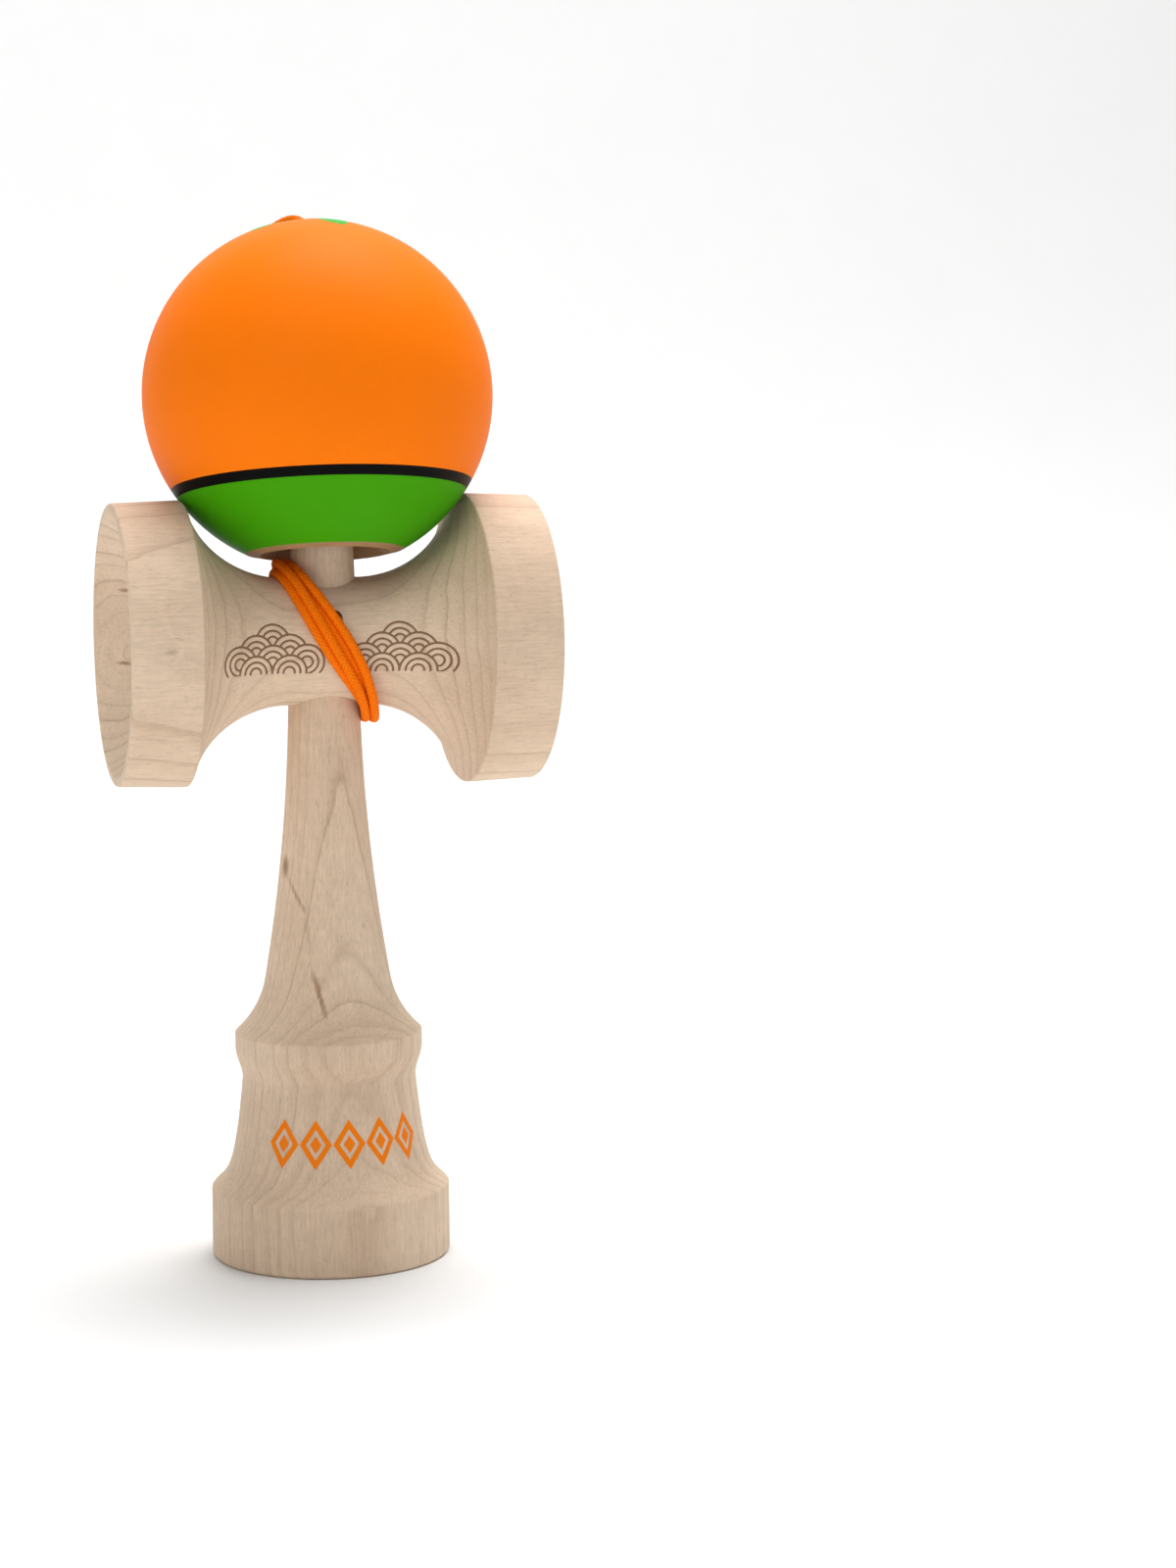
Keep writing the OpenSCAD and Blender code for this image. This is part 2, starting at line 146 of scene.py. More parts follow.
def make_camera():
    data = bpy.data.cameras.new("photo_camera")
    data.sensor_width, data.lens = CAM_SENSOR, CAM_LENS
    data.clip_start, data.clip_end = CAM_CLIP
    level = math.cos(CAM_PITCH)
    look = Vector((math.sin(CAM_PAN) * level, math.cos(CAM_PAN) * level, math.sin(CAM_PITCH)))
    right = Vector((math.cos(CAM_PAN), -math.sin(CAM_PAN), 0))
    up = right.cross(look)
    c, s = math.cos(CAM_ROLL), math.sin(CAM_ROLL)
    x_axis, y_axis = c * right + s * up, c * up - s * right
    turned = Matrix((x_axis, y_axis, -look)).transposed().to_4x4()
    cam = add_object("photo_camera", data)
    cam.matrix_world = Matrix.Translation(Vector(CAM_PLACE) * MM) @ turned
    bpy.context.scene.camera = cam


make_camera()


# Curve helpers; steps is the number of pieces that a line or curve has
def unit(v):
    return v / np.linalg.norm(v)


def units(v):
    """Rows of vectors, each made one long."""
    return v / np.linalg.norm(v, axis=1)[:, None]


def length_up_to(points):
    """The length of a line up to each of its points."""
    return np.concatenate([[0], np.cumsum(np.linalg.norm(np.diff(points, axis=0), axis=1))])


def full_turn(n):
    """Even angles all round, in radians."""
    return 2 * math.pi * np.arange(n) / n


def arc(centre, r, start, end, steps):
    return [np.array(centre) + r * direction(start + (end - start) * i / steps) for i in range(steps + 1)]


def cubic(p, steps):
    """Points of a cubic curve after its first point."""
    p = [np.array(q, float) for q in p]
    out = []
    for i in range(1, steps + 1):
        t = i / steps
        s = 1 - t
        out.append(s**3 * p[0] + 3 * s * s * t * p[1] + 3 * s * t * t * p[2] + t**3 * p[3])
    return out


def straight(a, b, steps):
    """Points of a straight line after its first point."""
    a, b = np.array(a, float), np.array(b, float)
    return [a + (b - a) * i / steps for i in range(1, steps + 1)]


def without_repeats(points):
    """The points without those that lie where the one before does."""
    kept = [points[0]]
    for p in points[1:]:
        if np.linalg.norm(p - kept[-1]) > SAME_PLACE:
            kept.append(p)
    return np.array(kept)


def smooth(x, low, high):
    """0 below low, 1 above high, smooth between."""
    t = np.clip((x - low) / (high - low), 0, 1)
    return t * t * (3 - 2 * t)


# Outlines of the turned pieces, and the steps of their curves, long lines and small roundings
CURVE, LONG, ROUND = 40, 30, 8


def dish(open_r):
    """Spherical dish from its rim to the axis, as [radius, height] with the rim at height 0."""
    edge = math.degrees(math.acos(open_r / DISH_R))
    return arc([0, math.sqrt(DISH_R**2 - open_r**2)], DISH_R, -edge, -90, CURVE)


def ken_outline():
    """Half outline of the handle as [radius, height], from the base cup to the spike's tip."""
    foot_edge = np.array([FOOT_R - FOOT_ROUND, FOOT_H - FOOT_ROUND])
    foot_end = foot_edge + FOOT_ROUND * np.array([sind(FOOT_SLOPE), cosd(FOOT_SLOPE)])
    neck = np.array([NECK_R, NECK_Z])
    lean = np.array([sind(NECK_LEAN), -cosd(NECK_LEAN)])
    ring_edge = np.array([RING_R - RING_ROUND, RING_TOP - RING_ROUND])
    grip_start = np.array([fit_radius(FIT_LOW), FIT_LOW])
    grip_r = (FIT_LOW - FLARE_Z) / (sind(FLARE_SLOPE) - sind(FIT_SLOPE))
    grip_end = grip_start + grip_r * (direction(FIT_SLOPE) - direction(FLARE_SLOPE))
    to_ring = ring_edge + RING_ROUND * direction(45) - grip_end
    ring_slope = 2 * math.degrees(math.atan(to_ring[0] / -to_ring[1])) - FLARE_SLOPE
    ring_end = ring_edge + RING_ROUND * direction(ring_slope)
    last = ring_end - grip_end
    end_slope = 2 * math.degrees(math.atan(last[0] / -last[1])) - FLARE_SLOPE
    flare_r = -last[1] / (sind(end_slope) - sind(FLARE_SLOPE))
    tip_z = BALL_C[2] + SPIKE_UP
    shoulder_z = tip_z - SPIKE_TIP
    shoulder_r = fit_radius(FIT_HIGH) - (shoulder_z - FIT_HIGH) * tand(SPIKE_SLOPE)
    shoulder = np.array([shoulder_r, shoulder_z])
    spike_lean = np.array([-sind(SPIKE_SLOPE), cosd(SPIKE_SLOPE)])
    cup = [np.array([p[0], -p[1]]) for p in reversed(dish(FOOT_R - FOOT_RIM))]
    foot = arc([FOOT_R - FOOT_ROUND, FOOT_ROUND], FOOT_ROUND, -90, 0, ROUND)
    foot += straight(foot[-1], foot_edge + [FOOT_ROUND, 0], ROUND)
    foot += arc(foot_edge, FOOT_ROUND, 0, 90 - FOOT_SLOPE, ROUND)
    foot_arm = FOOT_REACH * np.array([-cosd(FOOT_SLOPE), sind(FOOT_SLOPE)])
    cove = cubic([foot_end, foot_end + foot_arm, neck + NECK_REACH * lean, neck], CURVE)
    under = cubic([neck, neck - COVE_REACH * lean, [RING_R, RING_Z - COVE_REACH], [RING_R, RING_Z]], CURVE)
    ring = arc(ring_edge, RING_ROUND, 0, ring_slope, ROUND)
    flare_middle = grip_end + flare_r * direction(FLARE_SLOPE)
    flare = arc(flare_middle, flare_r, 180 + end_slope, 180 + FLARE_SLOPE, CURVE)
    grip_middle = grip_start + grip_r * direction(FIT_SLOPE)
    grip = arc(grip_middle, grip_r, 180 + FLARE_SLOPE, 180 + FIT_SLOPE, CURVE)
    taper = straight(grip_start, [fit_radius(FIT_HIGH), FIT_HIGH], LONG)
    spike = straight(taper[-1], shoulder, LONG)
    tip_arm = 0.5 * SPIKE_TIP * spike_lean
    tip = cubic([shoulder, shoulder + tip_arm, [shoulder_r / 2, tip_z], [0, tip_z]], CURVE)
    return without_repeats(cup + foot + cove + under + ring + flare + grip + taper + spike + tip)


def flare_turn(cup_d):
    """The angle through which a cup's flare turns, from the waist to the solid's shoulder."""
    return math.degrees(math.acos(1 - (cup_d / 2 - WAIST_R) / (CUP_FLARE_R + SHOULDER_ROUND)))


def waist_half(cup_d):
    """Where the straight waist ends on a cup's side."""
    return BAND_X - (CUP_FLARE_R + SHOULDER_ROUND) * sind(flare_turn(cup_d))


HALF_SMALL, HALF_BIG = waist_half(SMALL_CUP_D), waist_half(BIG_CUP_D)


def past_waist(x):
    """How far out on a flare a place along the cross piece is."""
    return np.maximum(np.abs(x) - np.where(np.asarray(x) < 0, HALF_SMALL, HALF_BIG), 0)


def cross_radius(x):
    """Outside radius of the cross piece's waist and flares at a distance from the handle's axis."""
    return WAIST_R + CUP_FLARE_R - np.sqrt(np.maximum(CUP_FLARE_R**2 - past_waist(x) ** 2, 1e-6))


def flare_grow(x):
    """How much further out a string lies where the flare slopes."""
    return 1 / np.sqrt(np.maximum(1 - (past_waist(x) / CUP_FLARE_R) ** 2, 1e-3))


# Rows of faces along the waist, and their distance on the flares, close enough for the burnt lines
WAIST_ROWS, FLARE_STEP = 50, 0.13
# The shoulders' rounding, crisper than the solid's
EDGE_ROUND = 0.45


def cup_outline(cup_d):
    """Half outline of one cup as [radius, distance from the handle's axis], from the waist to the dish."""
    half, rim_r = waist_half(cup_d), (cup_d - BAND_TAPER) / 2
    reach, drop = CUP_FLARE_R + EDGE_ROUND, WAIST_R + CUP_FLARE_R - cup_d / 2 + EDGE_ROUND
    turn = math.degrees(math.acos(drop / reach))
    band_x = half + math.sqrt(reach**2 - drop**2)
    waist = [np.array([WAIST_R, half * i / WAIST_ROWS]) for i in range(WAIST_ROWS + 1)]
    steps = int(CUP_FLARE_R * deg(turn) / FLARE_STEP)
    flare = [p[::-1] for p in arc([half, WAIST_R + CUP_FLARE_R], CUP_FLARE_R, -90, turn - 90, steps)]
    shoulder = arc([cup_d / 2 - EDGE_ROUND, band_x], EDGE_ROUND, -turn, 0, ROUND)
    rim = arc([rim_r - RIM_ROUND, HALF_W - RIM_ROUND], RIM_ROUND, 0, 90, ROUND)
    band = straight(shoulder[-1], rim[0], steps=12)
    lip = straight(rim[-1], [rim_r - RIM_W, HALF_W], steps=2)
    hollow = [np.array([p[0], HALF_W + p[1]]) for p in dish(rim_r - RIM_W)]
    return waist + flare + shoulder + band + rim + lip + hollow


def sarado_outline():
    """Outline of the cross piece, from the small cup's dish to the big cup's."""
    small = [np.array([p[0], -p[1]]) for p in reversed(cup_outline(SMALL_CUP_D))]
    return without_repeats(small + cup_outline(BIG_CUP_D))


# Mesh helpers
def new_object(name, verts_mm, faces, materials, face_slots=None):
    mesh = bpy.data.meshes.new(name)
    mesh.from_pydata((np.asarray(verts_mm) * MM).tolist(), [], faces)
    for m in materials:
        mesh.materials.append(m)
    if face_slots is not None:
        mesh.polygons.foreach_set("material_index", np.asarray(face_slots, np.int32))
    mesh.validate()
    mesh.shade_smooth()
    return add_object(name, mesh)


def crease(obj, angle=32):
    """Keeps edges sharp that turn by more than the angle."""
    obj.data.set_sharp_from_angle(angle=deg(angle))


def even_angles(n):
    return 360 * np.arange(n) / n


def lathe(outline, angles):
    """Vertices as [radius, angle, height], and faces, of an outline turned about its axis, in degrees."""
    rows, faces, starts = [], [], []
    n = len(angles)
    for r, h in outline:
        starts.append(len(rows))
        rows += [(0.0, 0.0, h)] if r < ON_AXIS else [(r, a, h) for a in angles]
    for i in range(len(outline) - 1):
        a, b = starts[i], starts[i + 1]
        single_a, single_b = outline[i][0] < ON_AXIS, outline[i + 1][0] < ON_AXIS
        for j in range(n):
            k = (j + 1) % n
            if single_a:
                faces.append((a, b + k, b + j))
            elif single_b:
                faces.append((a + j, a + k, b))
            else:
                faces.append((a + j, a + k, b + k, b + j))
    return np.array(rows), faces


def cut(obj, cutters, name):
    """Takes the cutters away from the object, whose mesh gets the name."""
    for c in cutters:
        m = obj.modifiers.new("cut", "BOOLEAN")
        m.operation, m.solver, m.object = "DIFFERENCE", "MANIFOLD", c
    bpy.context.view_layer.update()
    made = bpy.data.meshes.new_from_object(obj.evaluated_get(bpy.context.evaluated_depsgraph_get()))
    made.name = name
    obj.modifiers.clear()
    obj.data = made
    for c in cutters:
        bpy.data.objects.remove(c)


# A direction that no cutter's axis has
ANY_SIDE = [0.3, 0.9, 0.31]


def round_cutter(name, r_low, r_high, low, high, steps=96):
    """A cone or cylinder between two points, in millimetres."""
    low, high = np.array(low, float), np.array(high, float)
    axis = unit(high - low)
    side = unit(np.cross(axis, ANY_SIDE))
    other = np.cross(axis, side)
    turn = full_turn(steps)
    circle = np.cos(turn)[:, None] * side + np.sin(turn)[:, None] * other
    verts = np.concatenate([low + r_low * circle, high + r_high * circle])
    faces = [(i, (i + 1) % steps, steps + (i + 1) % steps, steps + i) for i in range(steps)]
    faces += [tuple(reversed(range(steps))), tuple(range(steps, 2 * steps))]
    return new_object(name, verts, faces, [])


# Material helpers
def rgba(value):
    """A colour of three numbers with its fourth; anything else stays as it is."""
    return (*value, 1) if isinstance(value, tuple) and len(value) == 3 else value


class Shader:
    """A material's node tree with short ways to add nodes."""

    def __init__(self, name):
        self.material = bpy.data.materials.new(name)
        self.material.use_nodes = True
        self.tree = self.material.node_tree
        self.surface = self.tree.nodes["Principled BSDF"]

    def node(self, kind, inputs=None, **settings):
        n = self.tree.nodes.new("ShaderNode" + kind)
        for key, value in settings.items():
            setattr(n, key, value)
        for key, value in (inputs or {}).items():
            self.put(n.inputs[key], value)
        return n

    def put(self, socket, value):
        if isinstance(value, bpy.types.NodeSocket):
            self.tree.links.new(value, socket)
        else:
            socket.default_value = value

    def math(self, operation, *values):
        n = self.node("Math", operation=operation)
        for i, v in enumerate(values):
            self.put(n.inputs[i], v)
        return n.outputs[0]

    def times(self, a, b):
        return self.math("MULTIPLY", a, b)

    def plus(self, base, value, size):
        """base + value * size"""
        return self.math("ADD", base, self.times(value, size))

    def vector(self, x, y, z):
        return self.node("CombineXYZ", {0: x, 1: y, 2: z}).outputs[0]

    def noise(self, vector, scale=1.0, detail=2.0, roughness=0.5):
        inputs = {"Vector": vector, "Scale": scale, "Detail": detail, "Roughness": roughness}
        return self.node("TexNoise", inputs).outputs[0]

    def attribute(self, name, output):
        return self.node("Attribute", attribute_name=name).outputs[output]

    def band(self, value, low, high):
        """0 below low, 1 above high, smooth between."""
        inputs = {"Value": value, "From Min": low, "From Max": high}
        return self.node("MapRange", inputs, interpolation_type="SMOOTHSTEP").outputs[0]

    def ramp(self, value, stops):
        """Grey levels at places from 0 to 1, with straight lines between them."""
        n = self.node("ValToRGB", {0: value})
        elements = n.color_ramp.elements
        while len(elements) < len(stops):
            elements.new(0.5)
        for e, (place, level) in zip(elements, stops):
            e.position, e.color = place, (level, level, level, 1)
        return n.outputs[0]

    def mix(self, share, a, b, blend="MIX"):
        n = self.node("Mix", data_type="RGBA", blend_type=blend)
        for i, v in ((0, share), (6, a), (7, b)):
            self.put(n.inputs[i], rgba(v))
        return n.outputs[2]

    def set(self, **values):
        """Sets or links inputs of the surface, with _ for each space in their names."""
        for key, value in values.items():
            self.put(self.surface.inputs[key.replace("_", " ")], rgba(value))

    def bump(self, height, distance_mm, strength=1.0):
        n = self.node("Bump", {"Height": height, "Distance": distance_mm * MM, "Strength": strength})
        self.put(self.surface.inputs["Normal"], n.outputs[0])


def linear(r, g, b):
    """A screen colour of 0 to 255 as the linear colour that shaders take."""
    shares = (r / 255, g / 255, b / 255)
    return tuple(c / 12.92 if c <= 0.04045 else ((c + 0.055) / 1.055) ** 2.4 for c in shares)


def millimetres(s):
    """The object's own coordinates, in millimetres, as three sockets."""
    coord = s.node("TexCoord").outputs["Object"]
    scaled = s.node("VectorMath", {0: coord, "Scale": 1 / MM}, operation="SCALE").outputs[0]
    split = s.node("SeparateXYZ", {0: scaled})
    return split.outputs[0], split.outputs[1], split.outputs[2]


WOOD_LIGHT, WOOD_MID, WOOD_LINE = linear(222, 198, 172), linear(210, 184, 158), linear(166, 135, 109)
BURNT_DARK, BURNT_LIGHT = linear(92, 60, 36), linear(140, 100, 64)
MARK_COLOUR = linear(134, 96, 62)
# Darkness across one growth ring, with its line near the end
RING_STOPS = ((0.0, 0.3), (0.1, 0.06), (0.4, 0.0), (0.78, 0.22), (0.92, 0.7), (0.965, 0.95), (1.0, 0.3))


def wood(name, along, across, pith, step, tilt=0.0, seed=0.0, marks=(), burnt=False,
         shade=(1.0, 1.0, 1.0), lines=0.55):
    """Pale close-grained wood.

    along and across name the axes along and square to the fibres. pith is the middle of the growth rings,
    step their distance, tilt their lean and lines their strength. shade is multiplied with the colour.
    """
    s = Shader(name)
    axes = dict(zip("xyz", millimetres(s)))
    g = axes[along]
    u, v = (s.math("SUBTRACT", axes[axis], middle) for axis, middle in zip(across, pith))
    moved = s.math("ADD", g, seed)

    def texture(square, length, detail=2.0, roughness=0.5):
        """Noise with one scale square to the fibres and another along them."""
        sides = [s.times(side, square) for side in (u, v)]
        place = s.vector(*sides, s.times(moved, length))
        return s.noise(place, detail=detail, roughness=roughness)

    def centred(value, size):
        return s.times(s.math("SUBTRACT", value, 0.5), size)

    # Growth rings: the distance from the pith, made wavy and uneven, cut into years of their own strength
    depth = s.math("SQRT", s.math("ADD", s.times(u, u), s.times(v, v)))
    depth = s.math("ADD", depth, centred(texture(0.05, 0.015), 3.2))
    depth = s.math("ADD", depth, centred(texture(0.3, 0.05, 3), 0.7))
    year = s.math("DIVIDE", s.plus(depth, g, tilt), step)
    uneven = s.noise(s.vector(s.times(year, 0.9), seed, 0.0), detail=1)
    year = s.plus(year, uneven, 1.3)
    strength = s.noise(s.vector(s.times(s.math("FLOOR", year), 3.7), seed, 1.0), detail=0)
    line = s.times(s.ramp(s.math("FRACT", year), RING_STOPS), s.band(strength, 0.2, 0.75))

    # Long fibres, short flecks and a soft curl over a slowly changing colour
    fibre = texture(2.4, 0.22, 5, 0.72)
    fleck = texture(1.9, 0.75, 3, 0.65)
    curl = texture(0.35, 0.6, 2)
    colour = s.mix(s.band(texture(0.05, 0.03, 3), 0.3, 0.7), WOOD_LIGHT, WOOD_MID)
    colour = s.mix(s.times(line, lines), colour, WOOD_LINE)
    fine = s.plus(0.7, fibre, 0.56)
    flecked = s.math("SUBTRACT", 1.0, s.times(s.band(fleck, 0.54, 0.7), 0.13))
    fine = s.times(fine, flecked)
    fine = s.times(fine, s.plus(0.93, curl, 0.14))
    tone = s.node("CombineColor", {i: s.times(fine, c) for i, c in enumerate(shade)}).outputs[0]
    colour = s.mix(1.0, colour, tone, "MULTIPLY")
    for mark in marks:
        colour = fleck_mark(s, axes, colour, fibre, *mark)
    if burnt:
        cloud = s.noise(s.vector(axes["x"], axes["y"], axes["z"]), scale=1.6, detail=3)
        burn = s.band(s.attribute("burn", "Fac"), 0.1, 0.75)
        colour = s.mix(s.times(burn, 0.9), colour, s.mix(cloud, BURNT_DARK, BURNT_LIGHT))
    s.set(Base_Color=colour, Roughness=s.plus(0.58, fibre, 0.16), Specular_IOR_Level=0.22)
    s.bump(s.plus(s.times(fibre, 0.7), line, -0.3), 0.04, 0.6)
    return s.material


def fleck_mark(s, axes, colour, fibre, centre, size, share, lean=(0.0, 0.0)):
    """A natural brown mark: an ellipsoid of half sizes about a place, broken up by the fibres.

    share is how strong it is, and lean is how far it goes along x and y for each step up.
    """
    up = s.math("SUBTRACT", axes["z"], centre[2])
    terms = []
    for axis, c, r, slope in zip("xyz", centre, size, (*lean, 0.0)):
        d = s.math("SUBTRACT", s.math("SUBTRACT", axes[axis], c), s.times(up, slope))
        d = s.math("DIVIDE", d, r)
        terms.append(s.times(d, d))
    far = s.math("SQRT", s.math("ADD", terms[0], s.math("ADD", terms[1], terms[2])))
    far = s.plus(far, s.math("SUBTRACT", fibre, 0.5), 1.2)
    inside = s.math("SUBTRACT", 1.0, s.band(far, 0.1, 1.1))
    return s.mix(s.times(inside, share), colour, MARK_COLOUR)


def paint(name, colour, rough=0.5, vary=0.05):
    """Satin paint with a fine spray texture; vary is how far its colour goes both ways."""
    s = Shader(name)
    place = s.vector(*millimetres(s))
    spray = s.noise(place, scale=3.2, detail=3, roughness=0.6)
    cloud = s.noise(place, scale=0.07, detail=2)
    share = s.plus(s.times(spray, 0.6), cloud, 0.4)
    dark, light = (tuple(c * k for c in colour) for k in (1 - vary, 1 + vary))
    s.set(Base_Color=s.mix(share, dark, light), Specular_IOR_Level=0.05,
          Roughness=s.plus(rough - 0.04, spray, 0.08))
    s.bump(spray, 0.012, 0.45)
    return s.material


STRING_COLOUR, SHEEN_COLOUR = linear(252, 108, 1), (1.0, 0.45, 0.1)
# Painted shade and painted highlight on the string: how much of its colour shows where a yarn dives under
# another and where it comes up
YARN_SHADE, YARN_HIGHLIGHT = 0.34, 1.3


def string_cloth(name, colour):
    """Braided cord: fibres along each yarn, with painted shade where yarns dive under each other and painted
    highlight where they come up.
    """
    s = Shader(name)
    lift, run = s.attribute("yarn_lift", "Fac"), s.attribute("yarn_run", "Vector")
    fibre = s.noise(run, scale=1.0, detail=3, roughness=0.6)
    deep, top = (tuple(min(c * k, 1) for c in colour) for k in (YARN_SHADE, YARN_HIGHLIGHT))
    # Painted shade and highlight: darker where a yarn lies low, lighter where it lies high, broken up by the
    # fibres
    tone = s.plus(s.times(lift, 0.75), fibre, 0.4)
    s.set(Base_Color=s.mix(s.band(tone, 0.1, 0.95), deep, top), Roughness=0.72, Specular_IOR_Level=0.08,
          Sheen_Weight=0.04, Sheen_Roughness=0.45, Sheen_Tint=SHEEN_COLOUR)
    s.bump(fibre, 0.02, 0.6)
    return s.material


STRING_CLOTH = string_cloth("braided_string", STRING_COLOUR)


# Route of the winding: passes over the front between corners at the top and low down, and passes behind.
# Corners are (x, layer): the place along the cross piece, and the height above a string on the wood.
STRANDS = 4
FRONT_PITCH, FRONT_LEAN = 1.3, 1.17
MID_LAYER = (0.95, 0, 0.95, 0)
TOP_CORNERS = ((-6.45, 1.5), (-6.5, 0), (-7.85, 1.4), (-8.1, 0))
LOW_CORNERS = ((8.3, 1.5), (8.55, 0), (6.98, 1.7), (6.98, 0.1))
BACK_X = (1.5, -0.3, -2.1, -6.2)
# Angles about the cross piece where the string has left its hole and where it leaves the winding
HOLE_LEAVE, WRAP_LEAVE = 146, -164
HOLE_LIFT = 0.25
ROUTE_STEP = 0.5
# Room from the string to the cross piece and to the handle
CROSS_ROOM, HANDLE_ROOM = 0.02, 0.03


def string_reach(x):
    """The least distance of the string's middle from the cross piece's axis."""
    return cross_radius(x) + (STRING_R + CROSS_ROOM) * flare_grow(x)


def wound(a, x, layer):
    """A point of the winding at an angle about the cross piece, which is 0 at the front and 90 at the top."""
    r = float(string_reach(x)) + layer
    return np.array([x, -r * cosd(a), CROSS_Z + r * sind(a)])


def pass_point(a, top, middle, low, raised=0.0):
    """Place and layer at an angle of one pass, from its top corner at 90 to its low corner at -90."""
    s = sind(a)
    x, layer = top if s > 0 else low
    w = abs(s)
    near = float(smooth(w, 0.35, 0.92))
    return middle * (1 - w) + x * w, layer * near + raised * (1 - near)


def first_route():
    """The winding before it is settled, from the handle's middle to where it leaves for the ball."""
    exit_y = math.sqrt(WAIST_R**2 - HOLE_UP**2)
    points = [np.array([0, y, HOLE_Z]) for y in np.arange(fit_radius(HOLE_Z), exit_y, ROUTE_STEP)]
    step = math.degrees(ROUTE_STEP / (WAIST_R + STRING_R))
    first_x, first_layer = TOP_CORNERS[0]
    for a in np.arange(HOLE_LEAVE, 90, -step):
        turned = HOLE_LEAVE - a
        w = float(smooth(turned, -14, 56))
        layer = first_layer * float(smooth(turned, 8, 50)) + HOLE_LIFT * (1 - w)
        points.append(wound(a, first_x * w, layer))
    for k in range(STRANDS):
        middle = ((STRANDS - 1) / 2 - k) * FRONT_PITCH * FRONT_LEAN
        for a in np.arange(90, -90, -step):
            x, layer = pass_point(a, TOP_CORNERS[k], middle, LOW_CORNERS[k], MID_LAYER[k])
            points.append(wound(a, x, layer))
        last = k == STRANDS - 1
        top = (2 * BACK_X[k], 0) if last else TOP_CORNERS[k + 1]
        for b in np.arange(-90, WRAP_LEAVE if last else -270, -step):
            x, layer = pass_point(-180 - b, top, BACK_X[k], LOW_CORNERS[k])
            points.append(wound(b, x, layer))
    return np.array(points)


# Height above which the string can come near the handle
GRIP_FROM = 60


def ken_radius_table():
    """Heights of the handle where the string can come near it, and its radii there."""
    outline = ken_outline()
    outline = outline[outline[:, 1] > GRIP_FROM]
    order = np.argsort(outline[:, 1])
    return outline[order, 1], outline[order, 0]


# Rounds with pulling and rounds without, and how much of each pull and push is made
PULL_ROUNDS, STILL_ROUNDS = 90, 30
PULL, PUSH = 0.35, 0.5
# Points along the string that don't push each other, and points held at its start and end
NEIGHBOURS, START_HELD, END_HELD = 7, 9, 3
# Share of the waist's radius in which the cross piece covers the handle
INSIDE_WAIST = 0.6


def settle(points):
    """Pushes the strands off each other and off the wood, and pulls them straight a little."""
    p = points.copy()
    heights, radii = ken_radius_table()
    n = len(p)
    index = np.arange(n)
    apart = np.abs(index[:, None] - index[None, :]) > NEIGHBOURS
    free = np.ones(n, bool)
    free[:START_HELD] = False
    free[-END_HELD:] = False
    for i in range(PULL_ROUNDS + STILL_ROUNDS):
        if i < PULL_ROUNDS:
            pull = np.zeros_like(p)
            pull[1:-1] = 0.5 * (p[:-2] + p[2:]) - p[1:-1]
            p[free] += PULL * pull[free]
        d = p[:, None, :] - p[None, :, :]
        far = np.sqrt((d * d).sum(2)) + TINY
        near = (far < STRING_D) & apart
        push = (np.where(near, (STRING_D - far) / far, 0)[:, :, None] * d).sum(1)
        count = np.maximum(near.sum(1), 1)[:, None]
        p[free] += (PUSH * push / count)[free]
        out = np.hypot(p[:, 1], p[:, 2] - CROSS_Z)
        need = string_reach(p[:, 0])
        grow = np.where(out < need, need / np.maximum(out, ON_AXIS), 1)
        lifted = np.stack([p[:, 0], p[:, 1] * grow, CROSS_Z + (p[:, 2] - CROSS_Z) * grow], 1)
        p[free] = lifted[free]
        out = np.hypot(p[:, 0], p[:, 1])
        need = np.interp(p[:, 2], heights, radii) + STRING_R + HANDLE_ROOM
        beside = np.abs(p[:, 2] - CROSS_Z) > WAIST_R * INSIDE_WAIST
        grow = np.where((out < need) & beside, need / np.maximum(out, ON_AXIS), 1)
        pushed = np.stack([p[:, 0] * grow, p[:, 1] * grow, p[:, 2]], 1)
        p[free] = pushed[free]
    return p


def spaced(points, step):
    """A smooth line through the points, with points about step apart."""
    p = np.asarray(points, float)
    for _ in range(2):
        p[1:-1] = 0.5 * p[1:-1] + 0.25 * (p[:-2] + p[2:])
    along = length_up_to(p)
    keep = np.concatenate([[True], np.diff(along) > ON_AXIS])
    p, along = p[keep], along[keep]
    at = np.linspace(0, along[-1], int(along[-1] / step) + 1)
    slope = np.gradient(p, along, axis=0)
    i = np.clip(np.searchsorted(along, at) - 1, 0, len(along) - 2)
    h = (along[i + 1] - along[i])[:, None]
    t = ((at - along[i])[:, None]) / h
    return ((2 * t**3 - 3 * t**2 + 1) * p[i] + (t**3 - 2 * t**2 + t) * h * slope[i]
            + (3 * t**2 - 2 * t**3) * p[i + 1] + (t**3 - t**2) * h * slope[i + 1])


# The string over the ball: the side that it lies on, its distance from the ball's middle, the angles up to
# which it lies and at which it bends, and its way into the channel as (out, up from the ball's top)
STRING_TURN = 42
LIE_R = BALL_R + STRING_R + 0.12
LIE_UP_TO, BEND_FROM = 67, 72
MOUTH_ROUTE = ((6.6, 1.15), (4.2, 1.65), (2, 1.35), (0.7, 0), (0.2, -2.3))
CHANNEL_FROM = 5
# The point behind the spike that the free string passes, and the reach of its curve at both ends
RUN_BY = np.array([0.6, WAIST_R + 3.5 * STRING_D, CROSS_Z + 0.9 * WAIST_R])
RUN_ARM_LOW, RUN_ARM_HIGH = 5, 4
LIFT_STEPS, CLIMB_STEPS, CHANNEL_POINTS = 36, 60, 20
TAIL_STEP, STRING_STEP = 1.0, 0.22


def over_ball(out, up):
    """A point in the plane of the string that lies over the ball."""
    return in_ball([-out * sind(STRING_TURN), out * cosd(STRING_TURN), up])


def on_ball(a):
    """A point of the string where it lies on the ball, at an angle up from the ball's middle."""
    return over_ball(LIE_R * cosd(a), LIE_R * sind(a))


